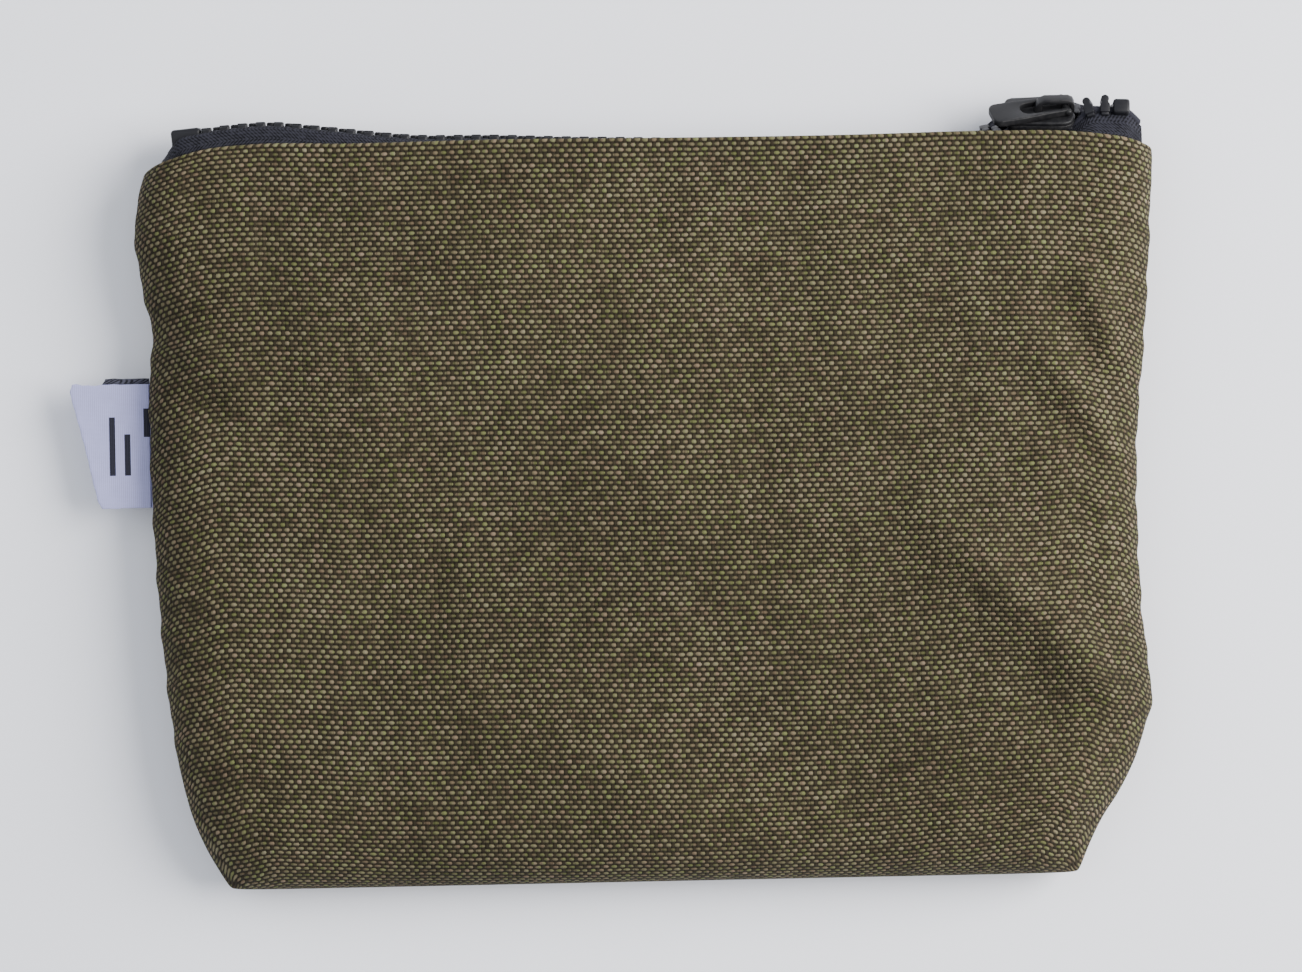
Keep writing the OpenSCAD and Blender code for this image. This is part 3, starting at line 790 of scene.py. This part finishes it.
def solid_piece(name, parts, material, place=None):
    points, faces = joined(parts)
    piece = new_piece(name, points if place is None else place(points), faces, material)
    mend_normals(piece)
    return piece


def on_zip(points):
    """From the zip's straight middle line, as (along, across, out), to the pouch."""
    axes = np.array([[1, 0, 0], ACROSS, OUT])
    return np.asarray(points) @ axes + [0, ZIP_Y, ZIP_Z]


# ---- builders ----

CHAIN_HALF, TOOTH_W, TOOTH_T, TOOTH_REACH = 2.2, 1.3, 1.9, 0.25
CORD_AT, CORD_R = 1.6, 0.45
STOP_T = 2.7
TEETH = {-1: 51, 1: 50}


def seat_teeth(template, side, centres):
    """Copies of a moulded shape along one row, each turned with the chain."""
    points, faces = template
    parts = []
    for x in centres:
        middle, across, out = zip_frame(x, side)
        ahead, _, _ = zip_frame(x + 0.2, side)
        along = (ahead - middle) / np.linalg.norm(ahead - middle) + [1, 0, 0]
        along /= np.linalg.norm(along)
        across = across - along * (across @ along)
        across /= np.linalg.norm(across)
        out = np.cross(along, across)
        seat = middle + across * side * row_part(x)
        local = points * [1, -side, 1]
        parts.append((seat + local[:, :1] * along + local[:, 1:2] * across + local[:, 2:] * out, faces))
    return parts


def row_part(x):
    """How far each row moves out from the chain's middle, in and past the slider."""
    return 0.5 * ease(x, SLIDER_X - 2.2, SLIDER_X + 2.4)


def tooth_template():
    """One moulded tooth of the front row: a foot clamped on the cord, a neck and a round head."""
    neck, head = 0.42, 0.54
    head_at = TOOTH_REACH - head
    outline = [(-TOOTH_W / 2, -CHAIN_HALF), (TOOTH_W / 2, -CHAIN_HALF), (TOOTH_W / 2, -1.0), (neck, -0.8)]
    outline += arc((0, head_at), head, -30, 210, 13)
    outline += [(-neck, -0.8), (-TOOTH_W / 2, -1.0)]
    body = prism(outline, -TOOTH_T / 2, TOOTH_T / 2, 0.16, 3)
    clamp = prism([(-TOOTH_W / 2 + 0.12, -CHAIN_HALF - 0.35), (TOOTH_W / 2 - 0.12, -CHAIN_HALF - 0.35),
                   (TOOTH_W / 2 - 0.12, -1.3), (-TOOTH_W / 2 + 0.12, -1.3)], -0.72, 0.72, 0.14, 2)
    return joined([body, clamp])


def build_zip_rows():
    plastic = material_once("moulded_plastic", plastic_material)
    tape = material_once("zip_tape_twill", lambda: twill_material("zip_tape_twill", colours().tape, 0.5 * MM))
    pitch = sizes().tooth_pitch / MM
    template = tooth_template()
    deep = CHAIN_HALF - 0.35
    stop_l = STOP_RIGHT - CHAIN_RIGHT
    low, high = -CHAIN_HALF - 0.2, -CHAIN_HALF + deep
    stop = prism([(-stop_l / 2, low), (stop_l / 2, low), (stop_l / 2, high), (-stop_l / 2, high)],
                 -STOP_T / 2, STOP_T / 2, 0.4, 4)
    for side, row in ((-1, "front"), (1, "back")):
        first = CHAIN_LEFT + TOOTH_W / 2 + 0.1 + (pitch / 2 if side > 0 else 0)
        centres = first + pitch * np.arange(TEETH[side])
        teeth = solid_piece(f"{row}_row_teeth", seat_teeth(template, side, centres), plastic)
        dress(teeth, "pouch", "zip_plastic", f"{row}_teeth")
        stop_x = (CHAIN_RIGHT + STOP_RIGHT) / 2
        block = solid_piece(f"{row}_row_stop", seat_teeth(stop, side, [stop_x]), plastic)
        dress(block, "pouch", "zip_plastic", f"{row}_top_stop")
        x = np.linspace(STOP_LEFT - 0.3, STOP_RIGHT + 1.2, 240)
        cord = solid_piece(f"{row}_row_cord", [tube(row_point(x, side, side * CORD_AT, 0), CORD_R, 14)], tape)
        dress(cord, "pouch", "zip_tape", f"{row}_tape_cord")
    length = CHAIN_LEFT - STOP_LEFT
    half = length / 2
    block = prism([(-half, -CHAIN_HALF), (half, -CHAIN_HALF), (half, CHAIN_HALF), (-half, CHAIN_HALF)],
                  -STOP_T / 2, STOP_T / 2, 0.5, 4)
    bottom = solid_piece("zip_bottom_stop", seat_teeth(block, -1, [CHAIN_LEFT - half]), plastic)
    dress(bottom, "pouch", "zip_plastic", "bottom_stop")


def row_point(x, side, across, out):
    """A point of one row, moved with it where the rows part."""
    middle, a, o = zip_frame(x, side)
    return middle + a * (across + side * row_part(x))[..., None] + o * out


def tape_grid(side, columns=280, samples=30):
    """Middle surface of a tape: from its sewn edge under the cloth, round the bend, to its cord."""
    x = np.linspace(-63.6, 66.2, columns + 1)
    slant = 1.0 * ease(-x, 61.5, 63.4)
    u = np.clip(x / half_width(x, np.full_like(x, EDGE_Y - BOTTOM_Y - 2)), -0.995, 0.995)
    top = front_top(u) if side < 0 else back_top(u)
    lay = 2.2 + 7.0 * (1 - ease(np.abs(x), 54, 61))
    surface = front_z if side < 0 else back_z
    k = TAPE_AT + TAPE_T / 2
    under = []
    for depth in (lay, lay * 0.5 + 0.5, 0 * lay + 1.0):
        h = top - depth
        inner = np.sign(x) * np.minimum(np.abs(x), half_width(x, h) - k - 0.25)
        under.append(np.stack([inner, h + BOTTOM_Y, surface(inner, h, k)], axis=-1))
    wide = 2.95 + 0.5 * ease(x, 44, 49)
    bend = row_point(x, side, side * wide, 0.0)
    end = row_point(x, side, side * (2.7 - slant), 0.0)
    edge = row_point(x, side, side * (CORD_AT + CORD_R - 0.1), 0.0)
    between = (under[-1] + bend) / 2
    between[:, 2] -= side * 0.3
    return through(np.stack(under + [between, bend, end, edge]), samples + 1)


def ribbon(name, grid, thick, material, rim=4):
    """A strip of cloth of even thickness about a middle surface, with uvs along and across it."""
    along = np.gradient(grid, axis=1)
    across = np.gradient(grid, axis=0)
    normal = np.cross(along, across)
    normal /= np.maximum(np.linalg.norm(normal, axis=2, keepdims=True), 1e-9)
    return cloth_shell(name, grid + normal * thick / 2, grid - normal * thick / 2, material, rim)


def build_zip_tapes():
    tape = material_once("zip_tape_twill", lambda: twill_material("zip_tape_twill", colours().tape, 0.5 * MM))
    for side, row in ((-1, "front"), (1, "back")):
        grid = tape_grid(side)
        piece = ribbon(f"{row}_row_tape", grid, TAPE_T, tape)
        dress(piece, "pouch", "zip_tape", f"{row}_zip_tape")


def slider_outline(grow=0.0):
    """Half outline points of the slider's plates, narrow end to mouth, mirrored to a closed loop."""
    half, rear, wide = (SLIDER_RIGHT - SLIDER_LEFT) / 2 + grow, 2.95 + grow, 3.2 + grow
    upper = [(-half, rear - 0.9), (-half + 0.3, rear - 0.3), (-half + 1.0, rear)]
    upper += [(-half + 1.0 + s * (half * 1.3 - 1.0), rear + (wide - rear) * s**1.5)
              for s in np.linspace(0.15, 1, 7)]
    upper += [(half - 1.5, wide - 0.05), (half - 0.7, wide - 0.4), (half - 0.15, wide - 1.2),
              (half - 0.05, wide - 2.0), (half - 0.4, 0.5)]
    return [(x, -y) for x, y in upper] + [(x, y) for x, y in reversed(upper)]


def build_slider():
    metal = material_once("slider_enamel", lambda: enamel_material("slider_enamel", colours().metal, 0.38))
    half = (SLIDER_RIGHT - SLIDER_LEFT) / 2
    channel, plate = 1.2, 0.75
    outline = slider_outline()
    edge = [(x, -y) for x, y in outline if y < -1.6]
    lips = [[(x, side * y) for x, y in edge] + [(x, side * (y - 0.45)) for x, y in reversed(edge)]
            for side in (-1, 1)]
    parts = []
    for face in (-1, 1):
        low, high = sorted((face * channel, face * (channel + plate)))
        parts.append(prism(outline, low, high, 0.28, 4))
        inner_low, inner_high = sorted((face * (channel - 0.65), face * (channel + 0.15)))
        parts += [prism(lip, inner_low, inner_high, 0.12, 2) for lip in lips]
    post = [(half - 2.8, 0), (half - 2.2, -0.15), (half - 0.9, -0.15), (half - 0.7, 0),
            (half - 0.9, 0.15), (half - 2.2, 0.15)]
    parts.append(prism(post, -channel - 0.1, channel + 0.1, 0.03, 1))
    body = solid_piece("zip_slider", parts, metal, lambda p: on_zip(p + [SLIDER_X, 0, 0]))
    dress(body, "slider", "slider_metal", "slider_body")
    low, high = box_mm("slider_crown")
    left, right = low[0] - SLIDER_X, high[0] - SLIDER_X
    base, top, thick = channel + plate - 0.1, 3.8, 0.65
    under = top - thick
    profile = [(left, base), (left + 1.0, base), (left + 1.0, under - 0.25), (left + 1.25, under),
               (right - thick - 0.25, under), (right - thick, under - 0.25), (right - thick, base),
               (right, base), (right, top - 0.9), (right - 0.25, top - 0.3), (right - 0.9, top),
               (left + 1.3, top), (left + 0.55, top - 0.35), (left + 0.1, top - 1.0)]
    points, faces = prism(profile, -0.75, 0.75, 0.16, 3)
    points = points[:, [0, 2, 1]]
    crown = solid_piece("slider_bridge", [(points, faces)], metal, lambda p: on_zip(p + [SLIDER_X, 0, 0]))
    dress(crown, "slider", "slider_metal", "slider_crown")


def build_pull():
    darker = [0.8 * c for c in colours().metal]
    metal = material_once("pull_enamel", lambda: enamel_material("pull_enamel", darker, 0.4))
    pivot = np.array(HINGE["pos_m"]) / MM
    steps = 12
    tip, corner, half = -10.2, 1.1, 2.1
    outer = [(0.05, -1.5), (-0.35, -1.8), (-2.2, -1.85), (-6.0, -half)]
    outer += arc((tip + corner, corner - half), corner, -90, -180, steps)
    outer += arc((tip + corner, half - corner), corner, 180, 90, steps)
    outer += [(-6.0, half), (-2.2, 1.85), (-0.35, 1.8), (0.05, 1.5)]
    inner_shape = [(-0.35, -1.15), (-1.2, -1.2)] + arc((-4.95, 0), 1.25, -90, -270, 2 * steps + 2)
    inner_shape += [(-1.2, 1.2), (-0.35, 1.15)]
    count = len(outer)
    place = np.linspace(0, len(inner_shape) - 1, count)
    inner = [(np.interp(p, range(len(inner_shape)), [q[0] for q in inner_shape]),
              np.interp(p, range(len(inner_shape)), [q[1] for q in inner_shape])) for p in place]
    axle = tube([[0, y, 0] for y in np.linspace(-1.95, 1.95, 9)], 0.45, 20, 0.3)
    parts = [windowed(outer, inner, -0.45, 0.45, 0.14, 3), axle]
    lean = math.radians(13)
    turn = np.array([[math.cos(lean), math.sin(lean), 0], [-math.sin(lean), math.cos(lean), 0], [0, 0, 1]])
    pull = solid_piece("slider_pull", parts, metal,
                       lambda p: p @ turn @ np.array([[1, 0, 0], ACROSS, OUT]) + pivot)
    dress(pull, "pull", "slider_metal", "pull_tab")


LABEL_MID = (box_mm("side_label")[0] + box_mm("side_label")[1])[1] / 2
LABEL_X = box_mm("side_label")[1][0]
# Plain bars woven into the label: near and far distance out from the seam, and both ends along it.
LABEL_BARS = [(2.7, 3.5, -3.9, 3.9), (0.7, 1.5, -3.9, 1.6), (-1.9, -1.1, 1.2, 5.0)]


def folded_strip(y0, y1, out0, out1, z, gap, columns, inner_x):
    """Middle surface of a strip folded at its outer end: rows along its path, columns along the seam."""
    t = np.linspace(0, 1, columns + 1)
    y = y0 + (y1 - y0) * t
    reach = out0 + (out1 - out0) * t + 0.06 * np.sin(0.5 * y) + 0.03 * np.sin(2.9 * y + 1)
    reach -= 0.5 * ease(t, 0.94, 1.0) + 0.25 * (1 - ease(t, 0.0, 0.05))
    fold_r = gap / 2
    rows = []
    for s in np.linspace(0, 1, 25):
        x = inner_x + (LABEL_X - reach + fold_r - inner_x) * s
        rows.append(np.stack([x, y, z + 0 * x], axis=-1))
    for a in np.linspace(90, -90, 9)[1:-1]:
        x = LABEL_X - reach + fold_r - fold_r * math.cos(math.radians(a))
        rows.append(np.stack([x, y, z - fold_r + fold_r * math.sin(math.radians(a)) + 0 * x], axis=-1))
    for s in np.linspace(1, 0, 25):
        x = inner_x + (LABEL_X - reach + fold_r - inner_x) * s
        rows.append(np.stack([x, y, z - gap + 0 * x], axis=-1))
    grid = np.stack(rows)
    away = np.clip((LABEL_X - grid[..., 0]) / 10, 0, 1)
    middle = z - fold_r
    bulge = 1 + 1.3 * np.sin(math.pi * np.clip(away * 1.15, 0, 1))
    grid[..., 2] = middle + (grid[..., 2] - middle) * bulge
    wave = 0.28 * np.sin(0.32 * (grid[..., 1] - y0) + 0.6)
    grid[..., 2] += wave * away + 0.5 * away**2
    curl = 0.16 * np.sin(1.3 * grid[..., 0]) + 0.1 * np.sin(3.7 * grid[..., 0])
    grid[..., 1] += curl * (t - 0.5) * 2 * away
    return grid


def place_bars(piece, middle_z):
    """Lays the woven bars on the upper half of the folded label only."""
    for loop, point in zip(piece.data.loops, piece.data.uv_layers["Cloth"].data):
        place = piece.data.vertices[loop.vertex_index].co
        point.uv = (place.y - LABEL_MID * MM, (LABEL_X * MM - place.x) if place.z > middle_z else -1)


def build_label():
    satin = material_once("woven_satin", label_material)
    paler = [3.4 * c for c in colours().tape]
    strip = material_once(
        "label_backing_twill", lambda: twill_material("label_backing_twill", paler, 0.7 * MM))
    low, high = box_mm("side_label")
    for name, node, slot, material, thick, gap, z, y0, y1, out0, out1 in (
            ("satin_label", "side_label", "label_satin", satin, 0.12, 0.17, SEAM_Z + 0.28,
             low[1], high[1], 4.85, 8.75),
            ("label_strip", "label_backing", "label_backing", strip, 0.2, 0.24, SEAM_Z - 0.14,
             low[1] + 0.9, high[1] + 0.75, 3.4, 4.4)):
        grid = folded_strip(y0, y1, out0, out1, z, gap, 60, -66.35)
        piece = ribbon(name, grid, thick, material)
        if name == "satin_label":
            place_bars(piece, (z - gap / 2) * MM)
        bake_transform(piece)
        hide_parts(node)
    y = np.linspace(low[1], high[1], 40)
    inner = np.stack([np.stack([0 * y - 66.25 + s * 1.1, y, 0 * y + SEAM_Z + 0.1 * math.sin(3 * s)], axis=-1)
                      for s in np.linspace(0, 1, 6)])
    ends = ribbon("label_sewn_ends", inner, 0.26, satin)
    dress(ends, "pouch", "label_satin", "label_ends")


def build_cloth():
    canvas = material_once("heathered_canvas", canvas_material)
    white = (0.7, 0.7, 0.68)
    fleece = material_once(
        "interlining_cotton", lambda: cotton_material("interlining_cotton", white, 0.4 * MM))
    plain = colours().lining
    lining = material_once("lining_cotton", lambda: cotton_material("lining_cotton", plain, 0.34 * MM))
    for front, row, fine in ((True, "front", (340, 260)), (False, "back", (240, 180))):
        layers = (("canvas", "panel", "canvas", fine, 0.0, CANVAS_T, canvas, 0.0, 0.0),
                  ("interlining_layer", "interlining", "interlining", (110, 80), CANVAS_T + 0.15,
                   INTERLINING_T, fleece, 0.35, 8.5),
                  ("lining_layer", "lining", "lining", (130, 100), LINING_AT, LINING_T, lining, 0.0, 1.8))
        for name, node, slot, (columns, rows), depth, thick, material, inset, lip in layers:
            outer = cloth_points(front, columns, rows, depth, inset, lip)
            inner = cloth_points(front, columns, rows, depth + thick, inset, lip)
            piece = cloth_shell(f"{row}_{name}", outer, inner, material)
            dress(piece, "pouch", slot, f"{row}_{node}")


def stitch_row(path, pitch=2.5, length=1.9):
    """Short bowed stitches along a path of points."""
    steps = np.linalg.norm(np.diff(path, axis=0), axis=1)
    reach = np.concatenate([[0], np.cumsum(steps)])
    parts = []
    for i in range(int(reach[-1] / pitch)):
        start = (i + 0.5) * pitch - length / 2
        at = np.linspace(start, start + length, 6)
        stitch = np.stack([np.interp(at, reach, path[:, j]) for j in range(3)], axis=1)
        parts.append(tube(stitch, 0.12, 8, 0.8))
    return parts


def side_path(side, low, high, depth):
    h = np.linspace(low, high, 160)
    return np.stack([side * (side_width(side, h) - depth), h + BOTTOM_Y, 0 * h + SEAM_Z], axis=-1)


def bottom_path(depth):
    x = np.linspace(3 - side_width(-1, depth), side_width(1, depth) - 3, 160)
    return np.stack([x, 0 * x + BOTTOM_Y + depth, 0 * x + SEAM_Z], axis=-1)


def zip_seam_path(front):
    x = np.linspace(-57, 57, 160)
    u = x / half_width(x, EDGE_Y - BOTTOM_Y)
    h = front_top(u) - 2.5 if front else back_top(u) - 2.2
    surface = front_z if front else back_z
    return np.stack([x, h + BOTTOM_Y, surface(x, h, (CANVAS_T + TAPE_AT) / 2)], axis=-1)


def build_threads():
    thread = material_once("sewing_thread", thread_material)
    tall = EDGE_Y - BOTTOM_Y
    rows = [("front_zip_seam", "front_zip_thread", [zip_seam_path(True)]),
            ("back_zip_seam", "back_zip_thread", [zip_seam_path(False)]),
            ("left_side_seam", "left_side_thread", [side_path(-1, 25, tall - 6, 1.0)]),
            ("right_side_seam", "right_side_thread", [side_path(1, 25, tall - 6, 1.0)]),
            ("bottom_seam", "bottom_thread", [bottom_path(1.0)]),
            ("left_corner_seam", "left_corner_thread", [side_path(-1, 2.5, 24, 1.0)]),
            ("right_corner_seam", "right_corner_thread", [side_path(1, 2.5, 24, 1.0)]),
            ("lining_seam", "lining_thread",
             [side_path(-1, 24, tall - 6, 1.34), side_path(1, 24, tall - 6, 1.34), bottom_path(1.34)])]
    for name, node, paths in rows:
        parts = [part for path in paths for part in stitch_row(path)]
        dress(solid_piece(name, parts, thread), "pouch", "thread", node)


def build_stage():
    shader = Shader("table_top")
    place = shader.object_place()
    speck = shader.noise(place, 900.0, 3.0)
    broad = shader.noise(place, 6.0, 2.0)
    base = colours().table
    shader.bump(speck, 0.01 * MM, 0.3)
    colour = shader.mix(broad, tuple(0.985 * c for c in base), tuple(min(1.015 * c, 1) for c in base))
    table = shader.finish(colour, 0.75, specular=0.2)
    count, reach = 96, 2400.0
    angles = [2 * math.pi * i / count for i in range(count)]
    rings = [(reach * s * math.cos(a), reach * s * math.sin(a), -0.02)
             for s in (0.1, 0.4, 1.0) for a in angles]
    faces = ring_faces(3, count, closed_columns=True) + [tuple(range(count))]
    top = new_piece("table_top", rings, faces, table, smooth=False)
    mend_normals(top)

    world = bpy.context.scene.world or bpy.data.worlds.new("soft_room")
    bpy.context.scene.world = world
    world.use_nodes = True
    background = world.node_tree.nodes["Background"]
    background.inputs["Color"].default_value = (0.91, 0.94, 1.0, 1)
    background.inputs["Strength"].default_value = 0.75

    def area_light(name, place, target, size, energy, colour):
        data = bpy.data.lights.new(name, "AREA")
        data.shape = "DISK"
        data.size, data.energy, data.color = size, energy, colour
        light = bpy.data.objects.new(name, data)
        light.location = place
        light.rotation_euler = (Vector(target) - Vector(place)).to_track_quat("-Z", "Y").to_euler()
        bpy.context.scene.collection.objects.link(light)

    area_light("window_light", (0.56, 0.12, 0.47), (0, 0, 0), 0.6, 12.4, (1.0, 0.985, 0.97))
    area_light("bounce_light", (-0.5, 0.3, 0.7), (0, 0, 0), 0.9, 2.6, (0.88, 0.93, 1.0))

    size = sizes()
    data = bpy.data.cameras.new("camera")
    data.sensor_width = 36
    data.lens = 36 * (size.camera_height - 5 * MM) / size.view_width
    data.clip_start = 0.01
    camera = bpy.data.objects.new("camera", data)
    camera.location = (0.33 * MM, 2.91 * MM, size.camera_height)
    camera.rotation_euler = (0, 0, math.radians(-1.2))
    bpy.context.scene.collection.objects.link(camera)
    bpy.context.scene.camera = camera


class PouchCloth(bpy.types.Operator):
    """Adds the canvas, interlining and lining of both panels."""

    bl_idname = "pouch.cloth"
    bl_label = "Cut the cloth"
    bl_options = {"REGISTER", "UNDO"}

    def execute(self, context):
        build_cloth()
        return {"FINISHED"}


class PouchZipTapes(bpy.types.Operator):
    """Adds both woven zip tapes."""

    bl_idname = "pouch.zip_tapes"
    bl_label = "Lay the zip tapes"
    bl_options = {"REGISTER", "UNDO"}

    def execute(self, context):
        build_zip_tapes()
        return {"FINISHED"}


class PouchZipRows(bpy.types.Operator):
    """Adds both rows of teeth with their cords and stops."""

    bl_idname = "pouch.zip_rows"
    bl_label = "Mould the zip"
    bl_options = {"REGISTER", "UNDO"}

    def execute(self, context):
        build_zip_rows()
        return {"FINISHED"}


class PouchSlider(bpy.types.Operator):
    """Adds the slider and the bridge that holds its pull."""

    bl_idname = "pouch.slider"
    bl_label = "Cast the slider"
    bl_options = {"REGISTER", "UNDO"}

    def execute(self, context):
        build_slider()
        return {"FINISHED"}


class PouchPull(bpy.types.Operator):
    """Adds the pull."""

    bl_idname = "pouch.pull"
    bl_label = "Hang the pull"
    bl_options = {"REGISTER", "UNDO"}

    def execute(self, context):
        build_pull()
        return {"FINISHED"}


class PouchLabel(bpy.types.Operator):
    """Adds the satin label, the strip behind it and their sewn ends."""

    bl_idname = "pouch.label"
    bl_label = "Fold the label"
    bl_options = {"REGISTER", "UNDO"}

    def execute(self, context):
        build_label()
        return {"FINISHED"}


class PouchThreads(bpy.types.Operator):
    """Adds every row of stitches."""

    bl_idname = "pouch.threads"
    bl_label = "Sew the seams"
    bl_options = {"REGISTER", "UNDO"}

    def execute(self, context):
        build_threads()
        return {"FINISHED"}


class PouchStage(bpy.types.Operator):
    """Adds the table, lights and camera."""

    bl_idname = "pouch.stage"
    bl_label = "Set the stage"
    bl_options = {"REGISTER", "UNDO"}

    def execute(self, context):
        build_stage()
        return {"FINISHED"}


class PouchPanel(bpy.types.Panel):
    """Sizes, colours and build steps of the pouch."""

    bl_idname = "VIEW3D_PT_pouch"
    bl_label = "Canvas pouch"
    bl_space_type = "VIEW_3D"
    bl_region_type = "UI"
    bl_category = "Pouch"

    def draw(self, context):
        for group in (context.scene.pouch_sizes, context.scene.pouch_colours):
            column = self.layout.column(align=True)
            for name in group.__annotations__:
                column.prop(group, name)
        column = self.layout.column(align=True)
        for step in STEPS:
            column.operator(step.bl_idname)


STEPS = (
    PouchCloth, PouchZipTapes, PouchZipRows, PouchSlider, PouchPull, PouchLabel, PouchThreads, PouchStage)
CLASSES = (PouchSizes, PouchColours, *STEPS, PouchPanel)


def register():
    for cls in CLASSES:
        bpy.utils.register_class(cls)
    bpy.types.Scene.pouch_sizes = bpy.props.PointerProperty(type=PouchSizes)
    bpy.types.Scene.pouch_colours = bpy.props.PointerProperty(type=PouchColours)


def unregister():
    del bpy.types.Scene.pouch_colours
    del bpy.types.Scene.pouch_sizes
    for cls in reversed(CLASSES):
        bpy.utils.unregister_class(cls)


def main():
    register()
    for step in STEPS:
        group, name = step.bl_idname.split(".")
        getattr(getattr(bpy.ops, group), name)()


if __name__ == "__main__":
    main()
